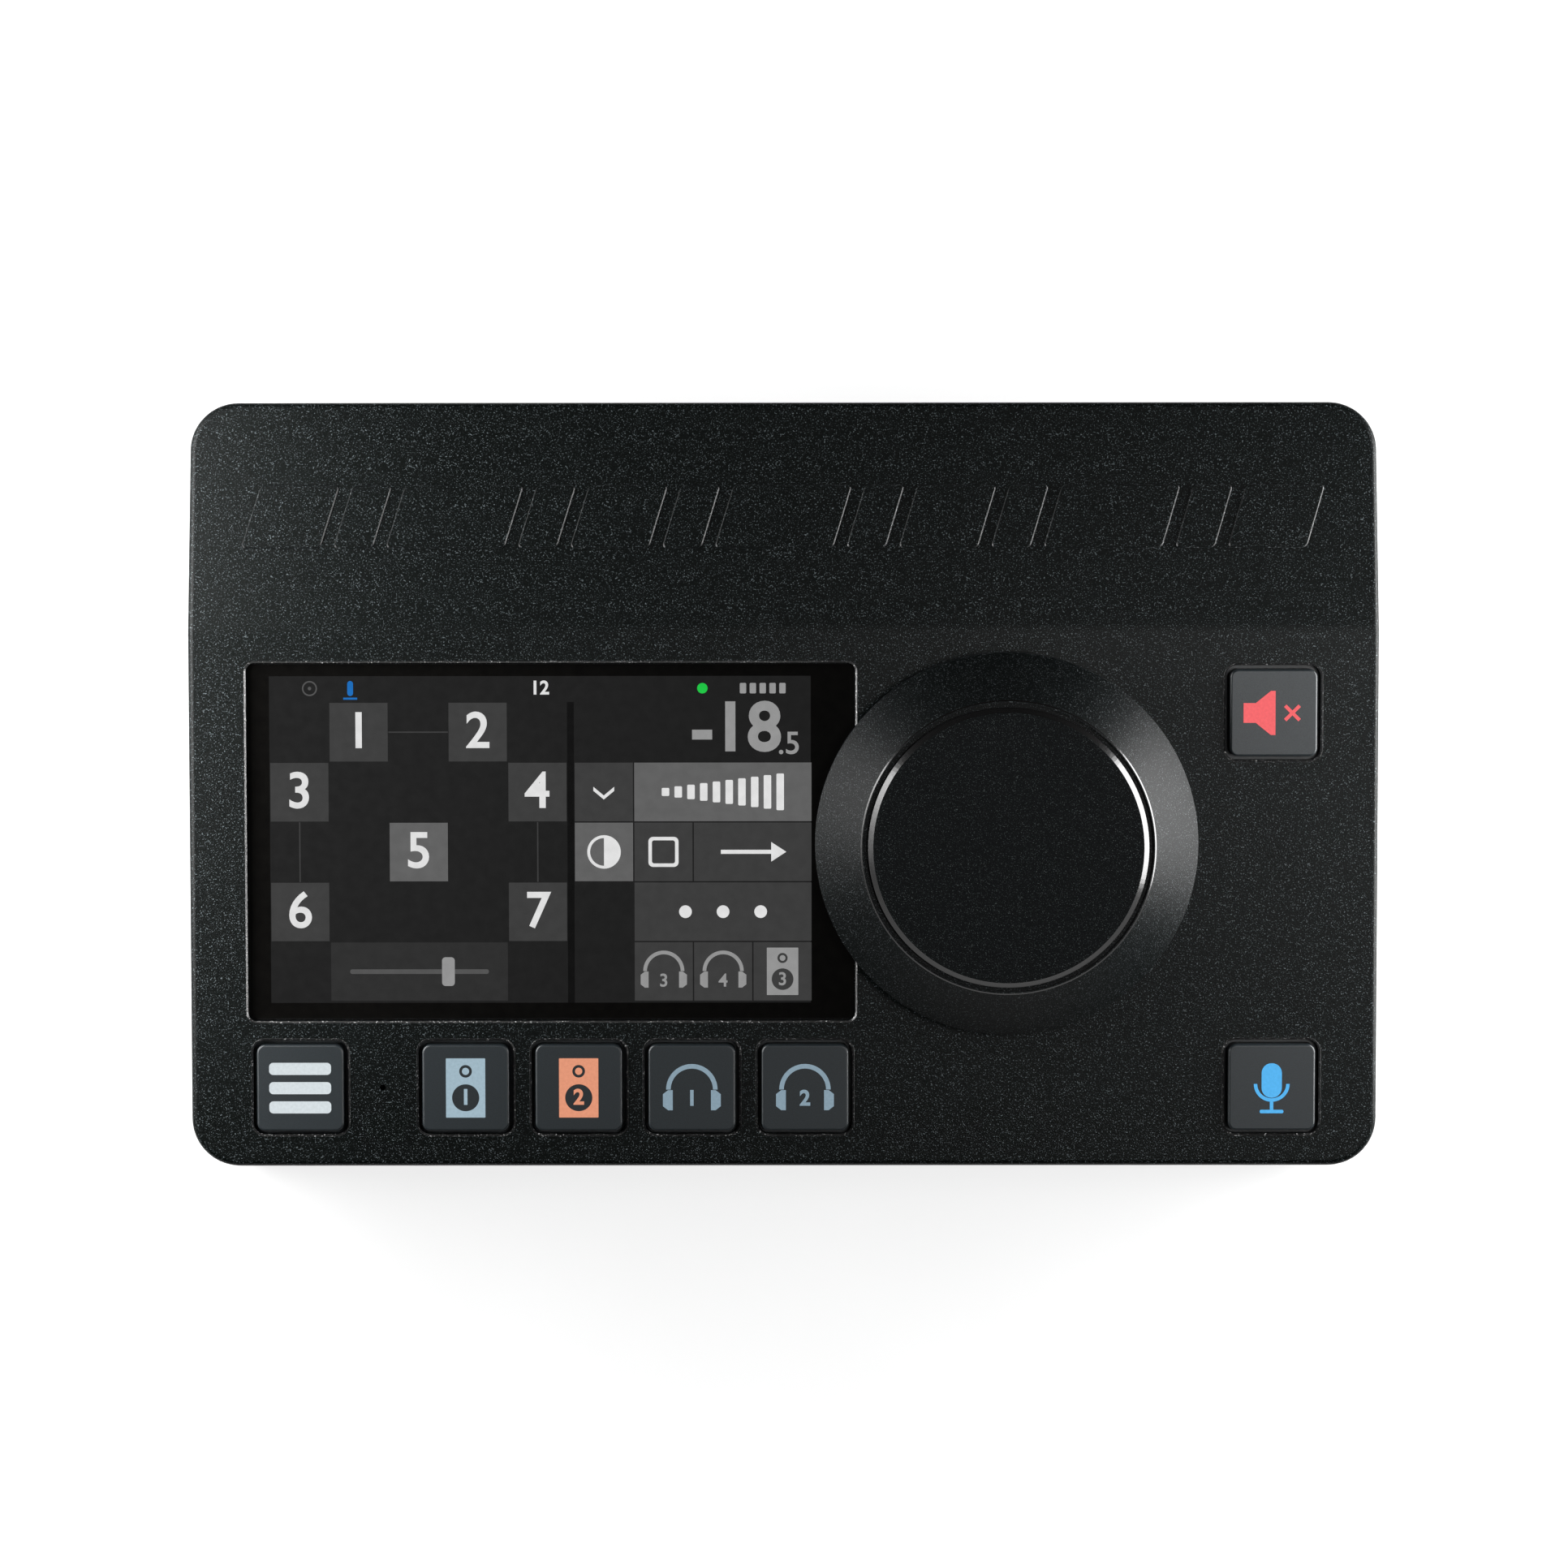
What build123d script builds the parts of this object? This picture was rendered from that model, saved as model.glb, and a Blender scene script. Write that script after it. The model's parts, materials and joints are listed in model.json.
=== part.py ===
from build123d import *
import os
from math import cos, radians, sin, tan

# Desktop studio monitor controller: a cast wedge-shaped housing with a sloping control deck that
# carries a display, a volume knob and seven square keys, and a rear deck that roofs the sockets.
# Millimetres. X to the right, Y to the rear, Z up; the origin is on the table under the middle.

# ---- Housing ---------------------------------------------------------------------------------
WIDTH = 205.0
DEPTH = 131.5
CREASE_HEIGHT = 55.5        # table to the crease between the two decks
CREASE_FROM_FRONT = 91.5    # front edge to the crease, measured level
DECK_SLOPE = 9.0            # control deck, degrees, rising to the rear
REAR_FALL = 2.5             # rear deck, degrees, falling to the rear
CORNER_RADIUS = 8.2         # vertical corners of the plan
EDGE_FILLET = 1.0           # edge between the decks and the walls
CREASE_FILLET = 8.0
WALL = 2.5                  # side and front walls
FRONT_LEAN = 0.65           # front wall leans back by this below the brow
REAR_WALL = 6.2             # deep frame around the rear sockets
ROOF = 2.6                  # thickness of both decks
SIDE_FRAME = 10.0           # housing side to the front and rear openings
BROW = 3.8                  # front edge of the deck above the front opening
HOOD = 4.2                  # rear edge of the deck above the rear opening
OPENING_RADIUS = 2.0

# ---- Base, feet and screws -------------------------------------------------------------------
FOOT_HEIGHT = 3.0
FOOT_RADIUS = 7.0
FOOT_BEVEL = 0.8
FOOT_SIDE_INSET = 18.0
FOOT_END_INSET = 15.0
BASE_THICKNESS = 2.0
BASE_INSET = 0.8            # base plate outline inside the housing outline
POST_RADIUS = 3.2           # cast posts that take the base screws
POST_SIDE_INSET = 5.3
POST_FRONT_INSET = 8.3
POST_MIDDLE_Y = -5.0
POST_REAR_INSET = 12.8
SCREW_RADIUS = 1.5
SCREW_HEAD_RADIUS = 2.8
SCREW_HEAD_HEIGHT = 1.4
SCREW_LENGTH = 10.0
SCREW_SUNK = 0.2            # countersunk head below its face
DRIVE_FLATS = 2.0           # hexagonal socket in a screw head
DRIVE_DEPTH = 0.9
SCREW_ROOM = 0.15           # round a screw, in a plate
THREAD_ROOM = 0.05          # round a screw, in a tapped hole
TAP_DEPTH = 12.0
BUSH_RADIUS = 6.0           # stand bush in the base plate
BUSH_FLANGE_RADIUS = 9.0
BUSH_FLANGE = 1.5
BUSH_HEIGHT = 7.5
BUSH_FLOOR = 1.0
STAND_THREAD_RADIUS = 3.97  # minor radius of the 3/8 inch stand thread

# ---- Front and rear panels -------------------------------------------------------------------
FRONT_PANEL = 1.8
REAR_PANEL = 2.0
PANEL_LAP = 2.0             # panel behind the frame, each side
PANEL_TOP_LAP = 1.2
PANEL_ROOM = 0.05           # panel to its frame, its groove and the base
PANEL_SEAM = 0.1            # between the two rear panels
GROOVE_RIB = 1.5            # ribs that keep the panels against their frames

# ---- Display ---------------------------------------------------------------------------------
DISPLAY_WIDTH = 105.0       # window pocket in the deck
DISPLAY_DEPTH = 62.0
DISPLAY_LEFT = 9.9          # housing side to the pocket
DISPLAY_FRONT = 25.1        # deck front edge to the pocket, along the deck
DISPLAY_RADIUS = 1.5
DISPLAY_BEVEL = 0.3
GLASS_ROOM = 0.2
GLASS_SUNK = 0.4            # glass face below the deck
GLASS = 1.1
GASKET = 0.3
LEDGE_LEFT = 1.4            # ledge under the glass, outside the display module
LEDGE_RIGHT = 5.2
LEDGE_FRONT = 2.0
LEDGE_REAR = 1.6
MODULE_ROOM = 0.2
MODULE = 4.2
DISPLAY_TAIL_WIDTH = 30.0
TAIL = 0.3

# ---- Keys ------------------------------------------------------------------------------------
KEY_OPENING = 16.4
KEY_OPENING_RADIUS = 2.0
KEY_BEVEL = 0.35
KEY_GAP = 0.7               # cap to opening, each side
KEY_RADIUS = 1.4
KEY_EDGE = 0.4
KEY_PROUD = 0.9             # cap face above the deck
KEY_FLANGE_LAP = 0.7        # flange under the deck, outside the opening
KEY_FLANGE = 1.0
KEY_FLANGE_ROOM = 0.3       # flange below the deck at rest
KEY_SKIN = 1.5              # face of the hollow cap
KEY_WALL = 1.3
KEY_STEM = 5.0
KEY_TRAVEL = 0.8
KEY_ROW_FRONT = 13.6        # deck front edge to the key row, along the deck
HOME_KEY_LEFT = 18.9        # housing side to the home key
SPEAKER_KEY_LEFT = 47.5     # housing side to the first speaker key
KEY_PITCH = 19.55
RIGHT_KEYS_RIGHT = 18.2     # housing side to the mute and talkback keys
MUTE_KEY_FRONT = 78.4
SWITCH_SIZE = 6.0
SWITCH_HEIGHT = 1.6
PLUNGER_RADIUS = 1.6
PLUNGER_PROUD = 1.1         # plunger above the switch at rest
PLUNGER_ROOM = 0.15
PLUNGER_SPARE = 0.2         # below the plunger when the key is down
SWITCH_FLOOR = 0.1

# ---- Talkback microphone ---------------------------------------------------------------------
MIC_HOLE_RADIUS = 0.5
MIC_LEFT = 33.1             # housing side to the microphone
MIC_RADIUS = 3.0
MIC_HEIGHT = 2.6
MIC_BOOT_WALL = 1.4
MIC_ROOM = 0.05
MIC_SUNK = 0.3

# ---- Control board, parallel to the control deck ---------------------------------------------
BOARD_DEPTH = 5.4           # underside of the deck to the board
BOARD = 1.6
CONTROL_BOARD_SIDE = 10.5   # housing side to the board
CONTROL_BOARD_FRONT = 6.0
CONTROL_BOARD_REAR = 4.6    # board to the crease
BOSS_RADIUS = 2.6
BOSS_BORE_DEPTH = 4.0
BOSS_SCREW_RADIUS = 1.1
BOSS_HEAD_RADIUS = 2.2
BOSS_HEAD_HEIGHT = 1.3
BOARD_HOLE_ROOM = 0.3       # screw to board hole
BOSS_EDGE = 4.0             # board edge to the bosses along it
BOSS_KEY_GAP = 14.35        # last key of the row to the inner bosses
BOSS_RIGHT = 52.5           # housing side to the outer bosses
BOSS_SIDE_V = 46.0
BOSS_DISPLAY_GAP = 0.5      # boss beside the display pocket

# ---- Volume knob and encoder -----------------------------------------------------------------
KNOB_RIGHT = 64.2           # housing side to the knob axis
KNOB_LIFT = 1.5             # knob above the deck
KNOB_RADIUS = 32.9
KNOB_RIM = 2.5              # upright band at the foot of the knob
KNOB_CONE = 8.0             # height of the cone above the band
KNOB_TOP_RADIUS = 24.9
KNOB_LIP = 0.2
KNOB_GROOVE = 0.8           # width and depth of the groove around the cap
KNOB_SHELL = 2.4
KNOB_WEB = 1.9
KNOB_BEVEL = 0.4            # lower edge of the rim
HUB_RADIUS = 7.0
HUB_LIFT = 4.6              # hub above the deck
CAP_THICKNESS = 1.8
CAP_BEVEL = 0.9
SHAFT_RADIUS = 3.0
SHAFT_ROOM = 0.05           # running clearance in the bushing
SHAFT_FIT = 0.03            # in the knob's hub
SHAFT_DEPTH = 4.0           # shaft inside the encoder body
SHAFT_END_ROOM = 0.2
SHAFT_TAP_DEPTH = 7.0
KNOB_SCREW_LENGTH = 7.5
BUSHING_RADIUS = 4.5
BUSHING_ROOM = 0.1
BUSHING_LIFT = 4.0          # bushing above the deck
ENCODER_SIZE = 16.0
NUT_FLATS = 11.0
NUT_HEIGHT = 2.2
NUT_BEVEL = 0.5             # height of the bevelled corners of a nut

# ---- Main board ------------------------------------------------------------------------------
STANDOFF_HEIGHT = 6.0
STANDOFF_RADIUS = 3.0
MAIN_BOARD_SIDE = 10.5      # housing side to the board
MAIN_BOARD_FRONT = 5.75
MAIN_BOARD_REAR = 9.75
STANDOFF_INSET = 6.0        # board edge to a standoff
FRONT_STANDOFF_GAP = 18.0   # inner front socket to a standoff
SIDE_STANDOFF_Y = -12.0
REAR_STANDOFF_INSET = 14.0
STANDOFF_SCREW_LENGTH = 5.5
PROCESSOR = 27.0
PROCESSOR_HEIGHT = 2.4
CONVERTER = 10.0
CONVERTER_HEIGHT = 1.2
PROCESSOR_Y = -12.0
CONVERTER_FRONT_Y = -16.0
CONVERTER_REAR_Y = 14.0
RIBBON_WIDTH = 28.0
RIBBON = 0.4
RIBBON_TOP_V = 79.0         # along the control board
RIBBON_SHIFT = 10.0         # lower end in front of the upper end
RIBBON_STRAIGHT = 8.0

# ---- Sockets ---------------------------------------------------------------------------------
JACK_BORE_RADIUS = 3.25     # for the 6.35 mm plug
JACK_BORE_DEPTH = 32.0
JACK_NOSE_RADIUS = 4.75
JACK_NOSE = 2.3             # nose in front of the panel
JACK_WIDTH = 15.0
JACK_HEIGHT = 16.0
JACK_END = 2.0              # floor behind the bore
JACK_NUT_FLATS = 12.0
JACK_NUT = 1.9
HOLE_ROOM = 0.1             # round a socket, in its panel
JACK_SIDE = 18.5            # housing side to the outer front sockets
JACK_PITCH = 20.0
XLR_SIDE = 24.0             # housing side to the outer rear connectors
XLR_PITCH = 27.0
XLR_HEIGHT = 28.0           # table to the axis
XLR_FLANGE_WIDTH = 26.0
XLR_FLANGE_HEIGHT = 31.0
XLR_FLANGE_RADIUS = 2.5
XLR_FLANGE = 1.8
XLR_BODY_RADIUS = 11.8
XLR_CUP_RADIUS = 9.7
XLR_SCREW_X = 9.5
XLR_SCREW_Z = 12.0
XLR_SCREW_LENGTH = 7.0
OUTPUT_CUP_DEPTH = 17.0
OUTPUT_FLOOR = 3.0
OUTPUT_PIN_RADIUS = 1.2
OUTPUT_PIN_CIRCLE = 4.8
OUTPUT_PIN = 13.0
CATCH_WIDTH = 3.6           # notch in an output cup that holds the plug's latch
CATCH_DEPTH = 1.1
CATCH_LENGTH = 9.0
COMBO_CUP_DEPTH = 15.0
COMBO_FLOOR = 3.0
COMBO_INSERT_RADIUS = 7.9
COMBO_INSERT_SUNK = 0.4
COMBO_REAR_WIDTH = 22.0
COMBO_REAR_HEIGHT = 20.0
COMBO_PIN_RADIUS = 1.3
COMBO_PIN_CIRCLE = 5.2
COMBO_PIN_DEPTH = 13.0
COMBO_TAB_WIDTH = 7.6       # release tab over the cup of a combined input
COMBO_TAB_INNER = 8.3
COMBO_TAB_OUTER = 13.2
COMBO_TAB_SUNK = 1.0
COMBO_TAB_PROUD = 1.1
NETWORK_WIDTH = 16.0
NETWORK_HEIGHT = 13.5
NETWORK_LENGTH = 21.0
NETWORK_MOUTH_WIDTH = 11.8
NETWORK_MOUTH_HEIGHT = 7.4
NETWORK_MOUTH_DEPTH = 14.0
NETWORK_LATCH_WIDTH = 6.2
NETWORK_LATCH_HEIGHT = 2.2
SOCKET_PROUD = 0.5          # network and power sockets in front of the rear panel
INLET_WIDTH = 9.0
INLET_HEIGHT = 11.0
INLET_LENGTH = 14.0
INLET_RADIUS = 3.15
INLET_DEPTH = 10.0
INLET_PIN_RADIUS = 1.05
INLET_PIN = 9.0

# ---- Levels and places worked out from the sizes ---------------------------------------------
half_width = WIDTH / 2
front_y = -DEPTH / 2
rear_y = DEPTH / 2
base_bottom = FOOT_HEIGHT
base_top = FOOT_HEIGHT + BASE_THICKNESS
slope = radians(DECK_SLOPE)
fall = radians(REAR_FALL)
crease_y = front_y + CREASE_FROM_FRONT
front_edge_z = CREASE_HEIGHT - CREASE_FROM_FRONT * tan(slope)
rear_edge_z = CREASE_HEIGHT - (rear_y - crease_y) * tan(fall)
deck_length = CREASE_FROM_FRONT / cos(slope)
board_half = half_width - CONTROL_BOARD_SIDE
board_rear_v = deck_length - CONTROL_BOARD_REAR
board_top = -ROOF - BOARD_DEPTH
board_bottom = board_top - BOARD
main_board_bottom = base_top + STANDOFF_HEIGHT
main_board_top = main_board_bottom + BOARD
opening_half = half_width - SIDE_FRAME
panel_half = opening_half + PANEL_LAP
front_opening_top = front_edge_z - BROW
rear_opening_top = rear_edge_z - HOOD
front_panel_face = front_y + WALL + PANEL_ROOM
rear_panel_face = rear_y - REAR_WALL - PANEL_ROOM
display_u = -half_width + DISPLAY_LEFT + DISPLAY_WIDTH / 2
display_v = DISPLAY_FRONT + DISPLAY_DEPTH / 2
window_width = DISPLAY_WIDTH - LEDGE_LEFT - LEDGE_RIGHT
window_depth = DISPLAY_DEPTH - LEDGE_FRONT - LEDGE_REAR
window_u = display_u + (LEDGE_LEFT - LEDGE_RIGHT) / 2
window_v = display_v + (LEDGE_FRONT - LEDGE_REAR) / 2
ledge_n = -GLASS_SUNK - GLASS - GASKET
knob_u = half_width - KNOB_RIGHT
knob_v = display_v
mic_u = MIC_LEFT - half_width
jack_outer_x = half_width - JACK_SIDE
jack_inner_x = jack_outer_x - JACK_PITCH
xlr_outer_x = half_width - XLR_SIDE
xlr_inner_x = xlr_outer_x - XLR_PITCH
converter_x = (xlr_outer_x + xlr_inner_x) / 2
glass_bottom = -GLASS_SUNK - GLASS
module_bottom = glass_bottom - MODULE
flange_top = -ROOF - KEY_FLANGE_ROOM
flange_bottom = flange_top - KEY_FLANGE
switch_top = board_top + SWITCH_HEIGHT
plunger_top = switch_top + PLUNGER_PROUD
jack_z = main_board_top + JACK_HEIGHT / 2
network_z = main_board_top + NETWORK_HEIGHT / 2
inlet_z = main_board_top + INLET_HEIGHT / 2

speaker_key_u = SPEAKER_KEY_LEFT - half_width
right_key_u = half_width - RIGHT_KEYS_RIGHT
KEYS = {
    "home": (HOME_KEY_LEFT - half_width, KEY_ROW_FRONT),
    "speaker_1": (speaker_key_u, KEY_ROW_FRONT),
    "speaker_2": (speaker_key_u + KEY_PITCH, KEY_ROW_FRONT),
    "headphone_1": (speaker_key_u + 2 * KEY_PITCH, KEY_ROW_FRONT),
    "headphone_2": (speaker_key_u + 3 * KEY_PITCH, KEY_ROW_FRONT),
    "mute": (right_key_u, MUTE_KEY_FRONT),
    "talkback": (right_key_u, KEY_ROW_FRONT),
}
boss_inner_u = KEYS["headphone_2"][0] + BOSS_KEY_GAP
boss_outer_u = half_width - BOSS_RIGHT
BOSSES = [
    (mic_u, DISPLAY_FRONT - BOSS_RADIUS - BOSS_DISPLAY_GAP),
    (boss_inner_u, CONTROL_BOARD_FRONT + BOSS_EDGE),
    (boss_outer_u, CONTROL_BOARD_FRONT + BOSS_EDGE),
    (boss_inner_u, board_rear_v - BOSS_EDGE),
    (boss_outer_u, board_rear_v - BOSS_EDGE),
    (board_half - BOSS_EDGE, BOSS_SIDE_V),
]
post_x = half_width - POST_SIDE_INSET
POSTS = [
    (side * post_x, y)
    for side in (-1, 1)
    for y in (front_y + POST_FRONT_INSET, POST_MIDDLE_Y, rear_y - POST_REAR_INSET)
]
main_board_half = half_width - MAIN_BOARD_SIDE
main_board_front = front_y + MAIN_BOARD_FRONT
main_board_rear = rear_y - MAIN_BOARD_REAR
STANDOFFS = [
    (side * x, y)
    for side in (-1, 1)
    for x, y in (
        (jack_inner_x - FRONT_STANDOFF_GAP, main_board_front + STANDOFF_INSET),
        (main_board_half - STANDOFF_INSET, SIDE_STANDOFF_Y),
        (main_board_half - STANDOFF_INSET, main_board_rear - REAR_STANDOFF_INSET),
    )
]
FRONT_JACKS = {
    "headphone_jack_1": -jack_outer_x,
    "headphone_jack_2": -jack_inner_x,
    "input_jack_1": jack_inner_x,
    "input_jack_2": jack_outer_x,
}
COMBOS = {"1": xlr_outer_x, "2": xlr_inner_x}
OUTPUTS = {"1": -xlr_outer_x, "2": -xlr_inner_x}
XLR_PLACES = [*COMBOS.values(), *OUTPUTS.values()]

# The small rear sockets stand between the inner connectors with even gaps, from +X to -X.
small_sockets = [JACK_WIDTH, JACK_WIDTH, NETWORK_WIDTH, INLET_WIDTH]
small_row = 2 * xlr_inner_x - XLR_FLANGE_WIDTH
socket_gap = (small_row - sum(small_sockets)) / (len(small_sockets) + 1)
small_places = [
    small_row / 2 - (i + 1) * socket_gap - sum(small_sockets[:i]) - width / 2
    for i, width in enumerate(small_sockets)
]
LINE_JACKS = {"line_output_1": small_places[0], "line_output_2": small_places[1]}
network_x, inlet_x = small_places[2:]
seam_x = (small_places[1] - JACK_WIDTH / 2 + network_x + NETWORK_WIDTH / 2) / 2

# ---- Frames ----------------------------------------------------------------------------------
# The deck frame has its origin in the middle of the front edge, u to the right, v up the slope
# and n square out of the deck. A panel frame lies on its outer face, with z out of the panel.
DECK = Plane(
    origin=(0, front_y, front_edge_z), x_dir=(1, 0, 0), z_dir=(0, -sin(slope), cos(slope))
).location
FRONT = Plane(origin=(0, front_panel_face, 0), x_dir=(1, 0, 0), z_dir=(0, -1, 0)).location
REAR = Plane(origin=(0, rear_panel_face, 0), x_dir=(-1, 0, 0), z_dir=(0, 1, 0)).location


def on_deck(u, v):
    return DECK * Pos(u, v, 0)


def on_front(x, z):
    return FRONT * Pos(x, z, 0)


def on_rear(x, z):
    return REAR * Pos(-x, z, 0)


# ---- Basic forms -----------------------------------------------------------------------------
UPWARD = (Align.CENTER, Align.CENTER, Align.MIN)


def block(length, width, bottom, top, radius=0.0):
    """Upright block between two levels; a radius rounds its upright corners."""
    outline = RectangleRounded(length, width, radius) if radius else Rectangle(length, width)
    return Pos(0, 0, bottom) * extrude(outline, top - bottom)


def rod(radius, bottom, top):
    return Pos(0, 0, bottom) * Cylinder(radius, top - bottom, align=UPWARD)


def hexagon(flats, bottom, top):
    outline = RegularPolygon(flats / 2, 6, major_radius=False)
    return Pos(0, 0, bottom) * extrude(outline, top - bottom)


def turned(points):
    """Solid of revolution about Z from (radius, height) points."""
    profile = make_face(Polyline(*points, close=True))
    return revolve(Plane.XZ * profile, Axis.Z)


def hex_nut(flats, bore, height):
    """Nut that stands on z = 0, with the corners of its outer face turned down."""
    corner = flats / 2 / cos(radians(30))
    form = turned([
        (bore, 0),
        (corner, 0),
        (corner, height - NUT_BEVEL),
        (flats / 2, height),
        (bore, height),
    ])
    return form & hexagon(flats, 0, height)


def screw(radius, head_radius, head_height, length):
    """Screw with a flat head that stands on z = 0, and with its shank down."""
    body = rod(head_radius, 0, head_height) + rod(radius, -length, 0)
    return body - hexagon(DRIVE_FLATS, head_height - DRIVE_DEPTH, head_height)


def countersunk(radius, head_radius, head_height, length):
    """Form of a countersunk screw: the head's face is on z = 0 and the shank points up."""
    return turned([
        (0, 0),
        (head_radius, 0),
        (radius, head_height),
        (radius, length),
        (0, length),
    ])


def write(name, *solids):
    """One STEP file per node; several solids stay separate in it."""
    shape = solids[0] if len(solids) == 1 else Compound(children=list(solids))
    shape.label = name
    export_step(shape, f"parts/{name}.step")


# ---- Housing ---------------------------------------------------------------------------------
def roof_crease(drop):
    """Crease of a roof that lies below the decks by a drop measured square to them."""
    y = crease_y + drop * (1 / cos(slope) - 1 / cos(fall)) / (tan(slope) + tan(fall))
    return y, CREASE_HEIGHT + (y - crease_y) * tan(slope) - drop / cos(slope)


def wedge(drop):
    """Long wedge under the roof, from the foot of the walls up."""
    y, z = roof_crease(drop)
    outline = Polyline(
        (y - DEPTH, base_top),
        (y - DEPTH, z - DEPTH * tan(slope)),
        (y, z),
        (y + DEPTH, z - DEPTH * tan(fall)),
        (y + DEPTH, base_top),
        close=True,
    )
    return extrude(Plane.YZ * make_face(outline), WIDTH, both=True)


def outer_form():
    """Solid block of the housing's outside, with its top edges rounded."""
    roof = wedge(0)
    roof = fillet(roof.edges().filter_by(Axis.X).sort_by(Axis.Z)[-1], CREASE_FILLET)
    body = block(WIDTH, DEPTH, base_top, CREASE_HEIGHT, CORNER_RADIUS) & roof
    upper = body.edges().filter_by_position(Axis.Z, front_edge_z - 0.1, CREASE_HEIGHT)
    crease = upper.filter_by(Axis.X).filter_by_position(Axis.Y, front_y + 1, rear_y - 1)
    upright = body.edges().filter_by(Axis.Z)
    return fillet(upper - crease - upright, EDGE_FILLET)


def end_opening(top, wall):
    """Cutter for the opening in front of a panel, in that panel's frame."""
    outline = RectangleRounded(2 * opening_half, 2 * top, OPENING_RADIUS)
    return Pos(0, 0, -wall / 2) * extrude(outline, 2 * wall)


def groove_rib(side, near, far):
    """Upright rib inside a side wall that keeps a panel against its frame."""
    inner = panel_half - GROOVE_RIB
    outer = half_width - WALL
    rib = block(outer - inner, abs(far - near), base_top, CREASE_HEIGHT)
    return Pos(side * (inner + outer) / 2, (near + far) / 2, 0) * rib & wedge(ROOF / 2)


def bevel_ring(width, depth, radius, bevel):
    """Cutter that bevels the upper edge of a rounded opening in the deck."""
    mouth = RectangleRounded(width + 2 * bevel, depth + 2 * bevel, radius + bevel)
    return extrude(mouth, -bevel, taper=45)


def deck_cutters():
    """Everything that is cut through the control deck from above."""
    pocket = block(DISPLAY_WIDTH, DISPLAY_DEPTH, ledge_n, ROOF, DISPLAY_RADIUS)
    pocket += bevel_ring(DISPLAY_WIDTH, DISPLAY_DEPTH, DISPLAY_RADIUS, DISPLAY_BEVEL)
    window = block(window_width, window_depth, -2 * ROOF, 0)
    key_hole = block(KEY_OPENING, KEY_OPENING, -2 * ROOF, ROOF, KEY_OPENING_RADIUS)
    key_hole += bevel_ring(KEY_OPENING, KEY_OPENING, KEY_OPENING_RADIUS, KEY_BEVEL)
    return [
        on_deck(display_u, display_v) * pocket,
        on_deck(window_u, window_v) * window,
        on_deck(knob_u, knob_v) * rod(BUSHING_RADIUS + BUSHING_ROOM, -2 * ROOF, ROOF),
        on_deck(mic_u, KEY_ROW_FRONT) * rod(MIC_HOLE_RADIUS, -2 * ROOF, ROOF),
        *[on_deck(u, v) * key_hole for u, v in KEYS.values()],
    ]


def front_lean():
    """Cutter that leans the front wall back from the brow down to its foot."""
    outline = Polyline(
        (front_y - WALL, front_opening_top),
        (front_y, front_opening_top),
        (front_y + FRONT_LEAN, base_top),
        (front_y - WALL, base_top),
        close=True,
    )
    return extrude(Plane.YZ * make_face(outline), WIDTH, both=True)


def top_housing():
    cavity = block(
        WIDTH - 2 * WALL,
        DEPTH - WALL - REAR_WALL,
        base_top,
        CREASE_HEIGHT,
        CORNER_RADIUS - WALL,
    )
    body = outer_form() - front_lean()
    body -= Pos(0, (WALL - REAR_WALL) / 2, 0) * cavity & wedge(ROOF)
    body -= FRONT * end_opening(front_opening_top, 2 * WALL)
    body -= REAR * end_opening(rear_opening_top, 2 * REAR_WALL)
    front_groove = front_panel_face + FRONT_PANEL + PANEL_ROOM
    rear_groove = rear_panel_face - REAR_PANEL - PANEL_ROOM
    for side in (-1, 1):
        body += groove_rib(side, front_groove, front_groove + GROOVE_RIB)
        body += groove_rib(side, rear_groove - GROOVE_RIB, rear_groove)
    post = rod(POST_RADIUS, base_top, CREASE_HEIGHT)
    for x, y in POSTS:
        body += Pos(x, y, 0) * post & wedge(ROOF / 2)
    for u, v in BOSSES:
        body += on_deck(u, v) * rod(BOSS_RADIUS, board_top, -ROOF / 2)
    taps = [
        Pos(x, y, 0) * rod(SCREW_RADIUS + THREAD_ROOM, base_top - 1, base_top + TAP_DEPTH)
        for x, y in POSTS
    ]
    bores = [
        on_deck(u, v)
        * rod(BOSS_SCREW_RADIUS + THREAD_ROOM, board_top - 1, board_top + BOSS_BORE_DEPTH)
        for u, v in BOSSES
    ]
    return body - deck_cutters() - taps - bores


# ---- Base ------------------------------------------------------------------------------------
def base_screw(room=0.0):
    """Countersunk screw in the base plate; with room around it, the cutter for its hole."""
    head = base_bottom + SCREW_SUNK
    body = Pos(0, 0, head) * countersunk(
        SCREW_RADIUS + room, SCREW_HEAD_RADIUS + room, SCREW_HEAD_HEIGHT, SCREW_LENGTH
    )
    if room:
        return body + rod(SCREW_HEAD_RADIUS + room, base_bottom - 1, head)
    return body - hexagon(DRIVE_FLATS, head, head + DRIVE_DEPTH)


def base_plate():
    plate = block(
        WIDTH - 2 * BASE_INSET,
        DEPTH - 2 * BASE_INSET,
        base_bottom,
        base_top,
        CORNER_RADIUS - BASE_INSET,
    )
    holes = [Pos(x, y, 0) * base_screw(SCREW_ROOM) for x, y in POSTS]
    return plate - holes - rod(BUSH_RADIUS + THREAD_ROOM, 0, base_top + 1)


def stand_bush():
    """Threaded bush that takes a microphone stand, pressed into the base plate."""
    body = rod(BUSH_RADIUS, base_bottom, base_bottom + BUSH_HEIGHT)
    body += rod(BUSH_FLANGE_RADIUS, base_top, base_top + BUSH_FLANGE)
    bore_top = base_bottom + BUSH_HEIGHT - BUSH_FLOOR
    return body - rod(STAND_THREAD_RADIUS, base_bottom - 1, bore_top)


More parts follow.
